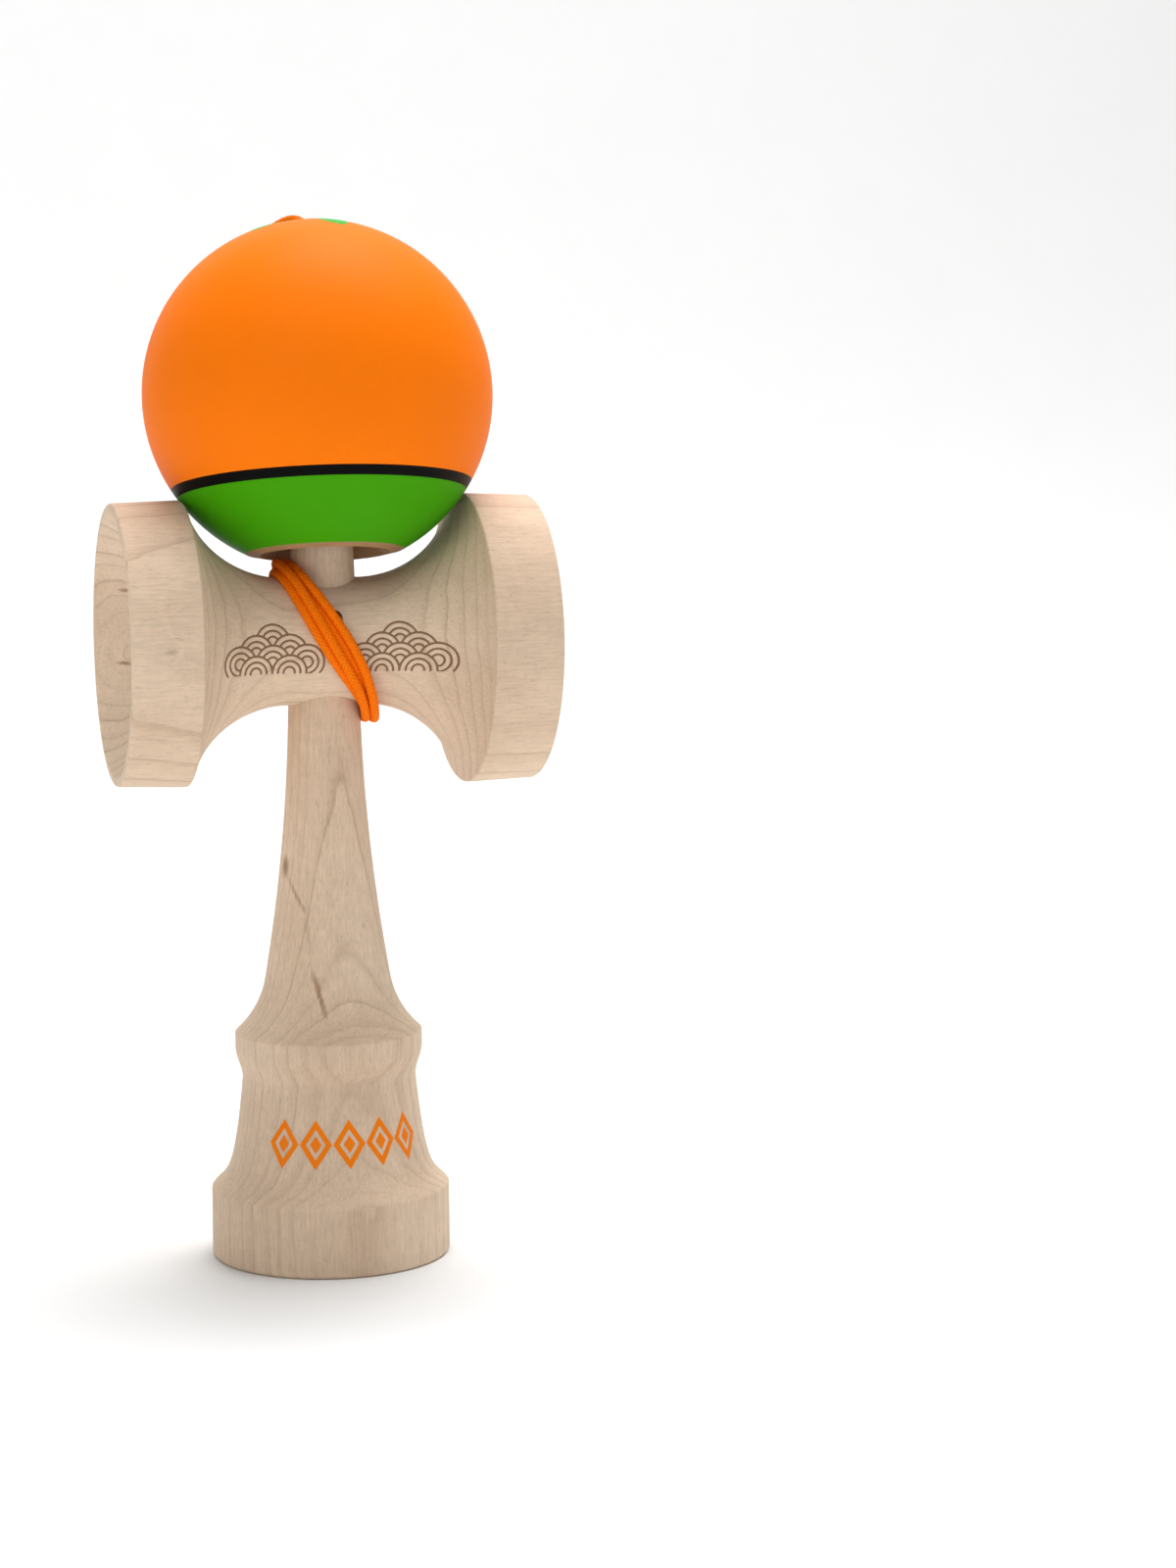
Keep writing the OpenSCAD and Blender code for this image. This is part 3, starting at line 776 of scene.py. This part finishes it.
def climb():
    """The free string's way from behind the spike round the ball to the side that it lies on."""
    c, s = cosd(BALL_TILT), sind(BALL_TILT)
    x, y, z = RUN_BY - BALL_C
    y, z = y * c - z * s, y * s + z * c
    far = math.sqrt(x * x + y * y + z * z)
    low_up, low_turn = math.asin(z / far), math.atan2(-x, y)
    touch = low_up + math.acos(LIE_R / far)
    points = []
    for i in range(1, CLIMB_STEPS + 1):
        part = i / CLIMB_STEPS
        up = low_up * (1 - part)
        turn = low_turn + (deg(STRING_TURN) - low_turn) * part * part * (3 - 2 * part)
        out = LIE_R / math.cos(max(touch - up, 0))
        level = math.cos(up)
        way = np.array([-level * math.sin(turn), level * math.cos(turn), math.sin(up)])
        points.append(in_ball(out * way))
    return points


def nearest(line, place):
    return int(np.argmin(np.linalg.norm(line - place, axis=1)))


def string_line():
    """The whole string as one line, and where the winding ends and where the string meets the ball."""
    wind = first_route()
    rise = climb()
    lift = cubic([wind[-1], wind[-1] + RUN_ARM_LOW * unit(wind[-1] - wind[-3]),
                  RUN_BY - RUN_ARM_HIGH * unit(rise[0] - RUN_BY), RUN_BY], LIFT_STEPS)
    settled = settle(np.array([*wind, *lift]))
    lie = [on_ball(a) for a in range(1, LIE_UP_TO + 1)]
    drill_top = BORE_UP + BORE_R * tand(DRILL_SLOPE)
    bead_z = drill_top - (BEAD_D / 2 + KNOT_GAP) / cosd(DRILL_SLOPE)
    knot_z = bead_z - BEAD_H / 2 - KNOT_GAP
    bend = [over_ball(out, BALL_R + up) for out, up in MOUTH_ROUTE]
    low = [in_ball([0, 0, z]) for z in np.linspace(BALL_R - CHANNEL_FROM, knot_z, CHANNEL_POINTS)]
    tail = spaced(np.array([lie[-1], on_ball(BEND_FROM), *bend, *low]), TAIL_STEP)
    line = spaced(np.array([*settled, *rise, *lie, *tail[1:]]), STRING_STEP)
    return line, nearest(line, settled[len(wind) - 1]), nearest(line, rise[-1])


# The braid: yarns each way, the length of one turn, and the sizes of a yarn, its way round and the core
YARNS, BRAID_TURN = 6, 4.8
YARN_WIDE, YARN_THICK, YARN_SIDES = 0.36, 0.19, 6
BRAID_R, BRAID_WAVE, CORE_R, CORE_SIDES = 0.6, 0.075, 0.56, 6
# Fibre texture: its scales along and round a yarn, and its shifts from yarn to yarn and way to way
FIBRE_ALONG, FIBRE_ROUND, YARN_SHIFT, WAY_SHIFT = 1.2, 2.6, 7.1, 3.3
FIRST_SIDE = np.array([0.31, 0.42, 0.85])


def frames(line):
    """Two steady directions square to a line, at each of its points."""
    along = units(np.gradient(line, axis=0))
    side = np.zeros_like(line)
    n = FIRST_SIDE
    for i, t in enumerate(along):
        n = n - (n @ t) * t
        n /= np.linalg.norm(n)
        side[i] = n
    return side, np.cross(along, side)


def tube(centre, side, other, wide, thick, sides):
    """Vertices and faces of a tube with an elliptic section, closed at both ends."""
    turn = full_turn(sides)
    ring = (wide * np.cos(turn)[None, :, None] * side[:, None, :]
            + thick * np.sin(turn)[None, :, None] * other[:, None, :])
    verts = (centre[:, None, :] + ring).reshape(-1, 3)
    n = len(centre)
    i, j = np.meshgrid(np.arange(n - 1), np.arange(sides), indexing="ij")
    a, b = i * sides + j, i * sides + (j + 1) % sides
    faces = np.stack([a, b, b + sides, a + sides], -1).reshape(-1, 4).tolist()
    faces += [tuple(reversed(range(sides))), tuple(range((n - 1) * sides, n * sides))]
    return verts, faces


def braid(name, line, side, other, s):
    """A cord along a line of lengths s: yarns wind both ways round a core, over and under each other."""
    turn = 2 * math.pi * s / BRAID_TURN
    core, faces = tube(line, side, other, CORE_R, CORE_R, CORE_SIDES)
    all_verts, all_faces = [core], list(faces)
    lifts, runs = [np.zeros(len(core))], [np.zeros((len(core), 3))]
    count = len(core)
    section = full_turn(YARN_SIDES)
    for way in (1, -1):
        for k in range(YARNS):
            own = 2 * math.pi * k / YARNS
            angle = own + way * turn
            wave = way * np.cos(YARNS * (own + 2 * way * turn) / 2 + k * math.pi)
            out = np.cos(angle)[:, None] * side + np.sin(angle)[:, None] * other
            centre = line + (BRAID_R + BRAID_WAVE * wave)[:, None] * out
            path = units(np.gradient(centre, axis=0))
            across = units(np.cross(path, out))
            verts, faces = tube(centre, across, np.cross(across, path), YARN_WIDE, YARN_THICK, YARN_SIDES)
            all_verts.append(verts)
            all_faces += [tuple(i + count for i in f) for f in faces]
            count += len(verts)
            # Painted shade and highlight: darker where a yarn dives under, lighter where it comes up, and
            # darker at the edges of its section
            lifts.append(((wave[:, None] * 0.5 + 0.5) * 0.7 + 0.3 * np.abs(np.sin(section))[None, :]).ravel())
            run = np.zeros((len(s), YARN_SIDES, 3))
            run[:, :, 0] = s[:, None] * FIBRE_ALONG
            run[:, :, 1] = np.cos(section)[None, :] * FIBRE_ROUND + k * YARN_SHIFT + way * WAY_SHIFT
            run[:, :, 2] = np.sin(section)[None, :] * FIBRE_ROUND
            runs.append(run.reshape(-1, 3))
    obj = new_object(name, np.concatenate(all_verts), all_faces, [STRING_CLOTH])
    dress_string(obj, np.concatenate(lifts), np.concatenate(runs))
    return obj


def dress_string(obj, lift, run):
    """Gives a piece of string what its cloth reads: how far up each place is, shown as painted shade and
    highlight, and its place in the fibres.
    """
    data = obj.data.attributes
    data.new("yarn_lift", "FLOAT", "POINT").data.foreach_set("value", lift.astype(np.float32))
    data.new("yarn_run", "FLOAT_VECTOR", "POINT").data.foreach_set("vector", run.astype(np.float32).ravel())


def make_string():
    line, wind_end, ball_meet = string_line()
    side, other = frames(line)
    s = length_up_to(line)
    spans = (("string_winding", "string_wrap", 0, wind_end),
             ("string_rise", "string_run", wind_end, ball_meet),
             ("string_over_ball", "string_top", ball_meet, len(line) - 1))
    made = []
    for name, node, i, j in spans:
        part = slice(i, j + 1)
        obj = braid(name, line[part], side[part], other[part], s[part])
        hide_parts(node)
        made.append(obj)
    low, meet, mouth = line[wind_end] * MM, line[ball_meet] * MM, over_ball(CHANNEL_R, BALL_R) * MM
    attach(made[0], "handle")
    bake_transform(made[1], "handle", "tether", start=(0, 0, low[2]), end=(0, 0, meet[2]))
    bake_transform(made[2], "tether", "bead_set", start=tuple(meet), end=tuple(mouth))


make_string()


# Handle, with the places of the photo's brown marks: centre, half sizes, strength and lean
HANDLE_MARKS = (
    ((-7.7, -2.4, 69.0), (0.9, 1.6, 2.6), 0.8),
    ((-6.45, -5.6, 64.2), (0.7, 0.8, 4.6), 0.5, (-0.38, 0.66)),
    ((-5.15, -8.2, 57.8), (0.6, 0.8, 5.2), 0.25, (-0.02, 0.2)),
    ((-3.75, -11.0, 47.4), (0.75, 0.9, 5.6), 0.8, (-0.2, 0.4)),
)
KEN_WOOD = wood("handle_wood", "z", "xy", (-12.0, 59.0), 1.75, seed=3.0, marks=HANDLE_MARKS)
HANDLE_SIDES, BORE_REACH = 160, 9


def make_handle():
    rows, faces = lathe(ken_outline(), even_angles(HANDLE_SIDES))
    r, a, h = rows.T
    verts = np.stack([r * np.cos(np.radians(a)), r * np.sin(np.radians(a)), h], 1)
    obj = new_object("handle", verts, faces, [KEN_WOOD])
    bore = round_cutter("bore", KNOT_BORE_R, KNOT_BORE_R, (0, -BORE_REACH, HOLE_Z), (0, BORE_REACH, HOLE_Z))
    cut(obj, [bore], "handle")
    crease(obj)
    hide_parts("ken")
    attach(obj, "handle")


make_handle()


# Printed row of lozenges round the front of the lower handle
PRINT_Z, PRINT_PLACES = 22.4, (-11.6, -5.8, 0, 5.8, 11.6)
LOZENGE_HALF = np.array([2.8, 4.2])
# A frame and a kernel, as shares of the whole lozenge
LOZENGE_PARTS = ((0.62, 1.0), (0.02, 0.36))
LOZENGE_LOOPS, EDGE_STEPS = 4, 8
PRINT_LIFT = 0.03
# Heights between which the handle's outline carries the print
PRINT_FROM, PRINT_TO = 13, 31
PRINT_INK = paint("handle_print", linear(236, 122, 16), 0.55, 0.06)


def painted_shape(name, loops, lay, material, body):
    """A thin painted shape of closed loops of [u, v] points, laid on a surface by lay(u, v)."""
    verts = [lay(u, v) for loop in loops for u, v in loop]
    n = len(loops[0])
    faces = [(i * n + j, i * n + (j + 1) % n, (i + 1) * n + (j + 1) % n, (i + 1) * n + j)
             for i in range(len(loops) - 1) for j in range(n)]
    obj = new_object(name, verts, faces, [material])
    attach(obj, body)


def lozenge(size):
    corners = [np.array(c) * LOZENGE_HALF * size for c in ((1, 0), (0, 1), (-1, 0), (0, -1))]
    return [corners[i] + (corners[(i + 1) % 4] - corners[i]) * t / EDGE_STEPS
            for i in range(4) for t in range(EDGE_STEPS)]


def make_print():
    outline = ken_outline()
    lower = outline[(outline[:, 1] > PRINT_FROM) & (outline[:, 1] < PRINT_TO)]

    def radius(z):
        return float(np.interp(z, lower[:, 1], lower[:, 0]))

    def lay(u, v):
        r, a = radius(PRINT_Z + v) + PRINT_LIFT, u / radius(PRINT_Z)
        return r * math.sin(a), -r * math.cos(a), PRINT_Z + v

    for i, place in enumerate(PRINT_PLACES):
        for j, (inner, outer) in enumerate(LOZENGE_PARTS):
            sizes = np.linspace(inner, outer, LOZENGE_LOOPS)
            loops = [[p + np.array([place, 0]) for p in lozenge(k)] for k in sizes]
            painted_shape(f"print_{i}_{j}", loops, lay, PRINT_INK, "handle")


make_print()


# Cross piece, with a burnt pattern of overlapping waves on the front of both flares
WAVE_R = 3.0
WAVE_RINGS = (1.0, 0.66, 0.33)
LINE_HALF, LINE_DEPTH = 0.2, 0.13
# Rows of waves from the front one to the last: height from the middle, and places on both sides of it
WAVE_ROWS = ((-4.6, (8, 14)), (-2.85, (5, 11, 17)), (-1.1, (8, 14)), (0.65, (11,)))


def burn_at(x, z):
    """How strongly the pattern is burnt in at places seen from the front, 0 to 1."""
    left = z > WAVE_ROWS[0][0] - LINE_HALF
    best = np.full(len(x), WAVE_R)
    for row, places in WAVE_ROWS:
        for place in places:
            far = np.hypot(np.abs(x) - place, z - row)
            edge = np.min([np.abs(far - WAVE_R * k) for k in WAVE_RINGS], axis=0)
            best = np.where(left & (far < WAVE_R + LINE_HALF), np.minimum(best, edge), best)
            left &= ~(far < WAVE_R)
    return 1 - smooth(best, LINE_HALF * 0.5, LINE_HALF * 1.25)


CROSS_MARKS = (
    ((-30.0, -24.3, 107.9), (1.5, 0.7, 0.6), 0.4),
    ((-32.0, 15.2, 116.4), (2.2, 2.6, 0.45), 0.75),
    ((-32.0, 17.0, 103.5), (2.6, 3.0, 0.5), 0.8),
)
SARADO_WOOD = wood("cross_piece_wood", "x", "yz", (16.0, 105.5), 2.6, tilt=0.03, seed=11.0, burnt=True,
                   lines=0.7, marks=CROSS_MARKS)
# Angles about the piece, with 0 at the front: close together where the pattern is, and wider all round
FINE_ANGLES, WIDE_ANGLES = np.arange(-30, 24.01, 0.6), np.arange(26, 329, 2.0)
# Where the pattern can be: angle from the front, distance from the middle, and depth under the surface
FRONT_ANGLE, FRONT_X, FRONT_SKIN = 61.5, 24, 0.3
CUT_PAST, HOLE_REACH, SEAT_SIDES, HOLE_SIDES = 3, 14, 160, 48


def make_cross_piece():
    rows, faces = lathe(sarado_outline(), np.concatenate([FINE_ANGLES, WIDE_ANGLES]))
    r, a, x = rows.T
    front = (np.abs(np.mod(a + 180, 360) - 180) < FRONT_ANGLE) & (np.abs(x) < FRONT_X) & (r > 1)
    z_seen = r * np.sin(np.radians(a))
    burn = np.where(front, burn_at(x, z_seen), 0)
    r = r - LINE_DEPTH * burn
    verts = np.stack([x, -r * np.cos(np.radians(a)), CROSS_Z + r * np.sin(np.radians(a))], 1)
    obj = new_object("cross_piece", verts, faces, [SARADO_WOOD])
    low, high = FIT_LOW - CUT_PAST, FIT_HIGH + CUT_PAST
    seat = round_cutter("seat", fit_radius(low), fit_radius(high), (0, 0, low), (0, 0, high), SEAT_SIDES)
    hole = round_cutter("hole", HOLE_R, HOLE_R, (0, -HOLE_REACH, HOLE_Z), (0, HOLE_REACH, HOLE_Z), HOLE_SIDES)
    cut(obj, [seat, hole], "cross_piece")
    co = np.zeros(len(obj.data.vertices) * 3, np.float32)
    obj.data.vertices.foreach_get("co", co)
    x, y, z = (co.reshape(-1, 3) / MM).T
    out = np.hypot(y, z - CROSS_Z)
    skin = (y < 0) & (np.abs(x) < FRONT_X) & (out > cross_radius(x) - FRONT_SKIN)
    burn = np.where(skin, burn_at(x, z - CROSS_Z), 0)
    obj.data.attributes.new("burn", "FLOAT", "POINT").data.foreach_set("value", burn.astype(np.float32))
    crease(obj)
    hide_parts("sarado")
    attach(obj, "handle")


make_cross_piece()


# Ball
ORANGE, GREEN, BLACK, YELLOW = linear(248, 120, 7), linear(64, 152, 4), linear(5, 5, 5), linear(240, 176, 40)
ORANGE_SLOT, BLACK_SLOT, GREEN_SLOT, BARE_SLOT, YELLOW_SLOT = range(5)
STRIPE_TOP, STRIPE_LOW = -15.49, -17.09
RING_PAINT_R = 3.4
# Just inside the solid's outermost corners, and how deep under it a face still is on the skin
SKIN_R, SKIN_DEEP = BALL_R - 0.015, 0.02
BALL_SIDES, BALL_STEP, BALL_CREASE = 192, 0.9, 25
INSIDE_STEPS = (4, 24, 12, 40, 6, 6)
# Bare wood of the ball, in its hole and channel and on the ring under it: darkened and browned, partly as
# painted shade and partly for its darker end grain
SHADED_BALL_WOOD = wood("ball_wood", "z", "xy", (18.0, 8.0), 1.7, seed=23.0, shade=(0.56, 0.42, 0.28))


def ball_outline():
    """Closed half outline of the ball in its own frame: up the outside, down the channel, out of the hole."""
    bare_z = -math.sqrt(BALL_R**2 - BARE_R**2)
    mouth_z = bare_z - BARE_DROP
    edges = [math.degrees(math.asin(z / BALL_R)) for z in (bare_z, STRIPE_LOW, STRIPE_TOP)]
    edges += [math.degrees(math.acos(r / BALL_R)) for r in (RING_PAINT_R, CHANNEL_R + CHANNEL_BEVEL)]
    outside = []
    for a, b in zip(edges[:-1], edges[1:]):
        outside += arc([0, 0], SKIN_R, a, b, max(int(abs(b - a) / BALL_STEP), 2))
    drill_up = BORE_UP + (BORE_R - CHANNEL_R) * tand(DRILL_SLOPE)
    corners = [outside[-1], [CHANNEL_R, BALL_R - CHANNEL_BEVEL], [CHANNEL_R, drill_up], [BORE_R, BORE_UP],
               [BORE_R, mouth_z + MOUTH_BEVEL], [MOUTH_R, mouth_z], [BARE_R, bare_z]]
    loop = list(outside)
    for a, b, steps in zip(corners[:-1], corners[1:], INSIDE_STEPS):
        loop += straight(a, b, steps)
    return without_repeats(loop)


def ball_slot(middle):
    """The paint on a row of the ball's faces, from the middle of that row."""
    by_channel = middle[0] < RING_PAINT_R
    if np.linalg.norm(middle) <= SKIN_R - SKIN_DEEP:
        return YELLOW_SLOT if by_channel and middle[1] > BALL_R - CHANNEL_BEVEL else BARE_SLOT
    if middle[1] < STRIPE_LOW:
        return GREEN_SLOT
    if middle[1] < STRIPE_TOP:
        return BLACK_SLOT
    return YELLOW_SLOT if by_channel and middle[1] > 0 else ORANGE_SLOT


def make_ball():
    loop = ball_outline()
    turn = np.radians(even_angles(BALL_SIDES))
    n, m = len(turn), len(loop)
    verts, faces, slots = [], [], []
    for r, h in loop:
        verts += [in_ball((r * math.cos(t), r * math.sin(t), h)) for t in turn]
    for i in range(m):
        k = (i + 1) % m
        slot = ball_slot((loop[i] + loop[k]) / 2)
        for j in range(n):
            q = (j + 1) % n
            faces.append((i * n + j, i * n + q, k * n + q, k * n + j))
            slots.append(slot)
    paints = [paint("ball_orange", ORANGE, 0.5, 0.09), paint("ball_black", BLACK, 0.42, 0.2),
              paint("ball_green", GREEN, 0.48, 0.09), SHADED_BALL_WOOD, paint("ball_yellow", YELLOW, 0.5)]
    obj = new_object("ball", verts, faces, paints, slots)
    crease(obj, BALL_CREASE)
    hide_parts("tama")
    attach(obj, "ball")


make_ball()


# Painted calyx of five lobes round the ball's top hole
CALYX_TURN, CALYX_LOW, CALYX_REACH = -78, 4.8, 9.0
CALYX_LOBES, CALYX_SHARP, CALYX_SIDES, CALYX_LOOPS = 5, 1.5, 120, 12
CALYX_PAINT = paint("ball_calyx", linear(62, 172, 48), 0.5, 0.06)


def make_calyx():
    turn = full_turn(CALYX_SIDES)
    lobes = 0.5 + 0.5 * np.cos(CALYX_LOBES * (turn - deg(CALYX_TURN)))
    edge = CALYX_LOW + CALYX_REACH * lobes**CALYX_SHARP

    def lay(u, v):
        far, a = math.hypot(u, v) / BALL_R, math.atan2(v, u)
        r = BALL_R + PRINT_LIFT
        flat = r * math.sin(far)
        return in_ball((flat * math.cos(a), flat * math.sin(a), r * math.cos(far)))

    loops = []
    for share in np.linspace(0, 1, CALYX_LOOPS):
        r = RING_PAINT_R + (edge - RING_PAINT_R) * share
        loops.append(np.stack([r * np.cos(turn), r * np.sin(turn)], 1))
    painted_shape("calyx", loops, lay, CALYX_PAINT, "ball")


make_calyx()


# Bead and knots
NODE["bead"].data.materials.clear()
NODE["bead"].data.materials.append(wood("bead_wood", "z", "xy", (6.0, 3.0), 0.9, seed=31.0))
# The knot's string: its radius, its sides, the points along it and the room for it in the knot's size
KNOT_STRING_R, KNOT_SIDES, KNOT_POINTS, KNOT_ROOM = 0.52, 12, 90, 0.55
KNOT_HEIGHT = 1.15


def make_knot(name, node, body, centre, axis):
    """A pulled-tight stopper knot: a trefoil of string about an axis."""
    t = np.linspace(0, 2 * math.pi, KNOT_POINTS)
    x, y = np.sin(t) + 2 * np.sin(2 * t), np.cos(t) - 2 * np.cos(2 * t)
    z = -KNOT_HEIGHT * np.sin(3 * t)
    size = (KNOT_D / 2 - KNOT_ROOM) / 3
    axis = unit(np.array(axis, float))
    side = unit(np.cross(axis, [1.0, 0.2, 0.1]))
    trefoil = x[:, None] * side + y[:, None] * np.cross(axis, side) + z[:, None] * axis
    line = np.array(centre) + size * trefoil
    verts, faces = tube(line, *frames(line), KNOT_STRING_R, KNOT_STRING_R, KNOT_SIDES)
    obj = new_object(name, verts, faces, [STRING_CLOTH])
    sides = np.arange(KNOT_SIDES)
    run = np.repeat(np.arange(len(line)) * 0.4, KNOT_SIDES)
    # Stripes of painted shade and painted highlight round the knot's string, standing for its yarns
    dress_string(obj, np.tile(0.65 + 0.35 * np.cos(sides * math.pi), len(line)),
                 np.stack([run, np.tile(sides * 1.3, len(line)), run * 0], 1))
    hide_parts(node)
    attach(obj, body)


def box_middle(node):
    low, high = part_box(node)
    return np.array((low + high) / 2) / MM


make_knot("handle_knot", "ken_knot", "handle", box_middle("ken_knot"), (0, 1, 0))
make_knot("inner_knot", "bead_knot", "bead_set", box_middle("bead_knot"), in_ball([0, 0, 1]) - BALL_C)


# Floor that bends up into a backdrop, in millimetres, and its shades
STAGE_WIDE, STAGE_FRONT, STAGE_BACK, STAGE_BEND, STAGE_TALL = 4200, -4200, 900, 500, 1900
FLOOR_DARK, FLOOR_LIGHT = (0.79, 0.79, 0.785), (0.81, 0.81, 0.805)


def make_stage():
    s = Shader("pale_floor")
    grain = s.noise(s.vector(*millimetres(s)), scale=0.02, detail=2)
    s.set(Base_Color=s.mix(grain, FLOOR_DARK, FLOOR_LIGHT), Roughness=0.6, Specular_IOR_Level=0.0)
    line = [np.array([STAGE_FRONT, 0.0]), np.array([STAGE_BACK, 0.0])]
    line += arc([STAGE_BACK, STAGE_BEND], STAGE_BEND, -90, 0, steps=24)[1:]
    line.append(np.array([STAGE_BACK + STAGE_BEND, STAGE_TALL]))
    verts = [(side * STAGE_WIDE, p[0], p[1]) for p in line for side in (-1, 1)]
    faces = [(2 * i, 2 * i + 1, 2 * i + 3, 2 * i + 2) for i in range(len(line) - 1)]
    new_object("floor", verts, faces, [s.material])


make_stage()


# Lights: a wide soft one above, a weak one at the front left, and one for the backdrop
def make_light(kind, place, aim, power, **settings):
    data = bpy.data.lights.new(kind.lower(), kind)
    data.energy = power
    for key, value in settings.items():
        setattr(data, key, value)
    obj = add_object(kind.lower(), data)
    obj.location = place
    obj.rotation_mode = "QUATERNION"
    obj.rotation_quaternion = (Vector(aim) - Vector(place)).to_track_quat("-Z", "Y")


make_light("SUN", place=(0.26, 0.16, 1.15), aim=(0, 0, 0.05), power=2.85, angle=deg(52))
make_light("AREA", place=(-0.45, -0.7, 0.75), aim=(0, 0, 0.1), power=2.0, shape="DISK", size=0.5)
make_light("AREA", place=(0.2, 0.35, 1.5), aim=(0.3, 1.4, 0.35), power=12.5, shape="DISK", size=0.9)

# Light of the walls and of the ceiling, its colour, and the heights where one ends and the other starts
WALL_LIGHT, CEILING_LIGHT, WORLD_COLOUR = 1.0, 0.25, (0.98, 0.99, 1.0, 1)
WALL_UP_TO, CEILING_FROM = 0.06, 0.32


def make_world():
    """Pale studio walls all round, darker towards the ceiling."""
    world = bpy.data.worlds.new("studio")
    world.use_nodes = True
    nodes, links = world.node_tree.nodes, world.node_tree.links
    split = nodes.new("ShaderNodeSeparateXYZ")
    links.new(nodes.new("ShaderNodeTexCoord").outputs["Generated"], split.inputs[0])
    fall = nodes.new("ShaderNodeMapRange")
    fall.interpolation_type = "SMOOTHSTEP"
    for key, value in (("From Min", WALL_UP_TO), ("From Max", CEILING_FROM),
                       ("To Min", WALL_LIGHT), ("To Max", CEILING_LIGHT)):
        fall.inputs[key].default_value = value
    links.new(split.outputs[2], fall.inputs["Value"])
    links.new(fall.outputs[0], nodes["Background"].inputs[1])
    nodes["Background"].inputs[0].default_value = WORLD_COLOUR
    bpy.context.scene.world = world


make_world()
bpy.context.scene.view_settings.view_transform = "Standard"
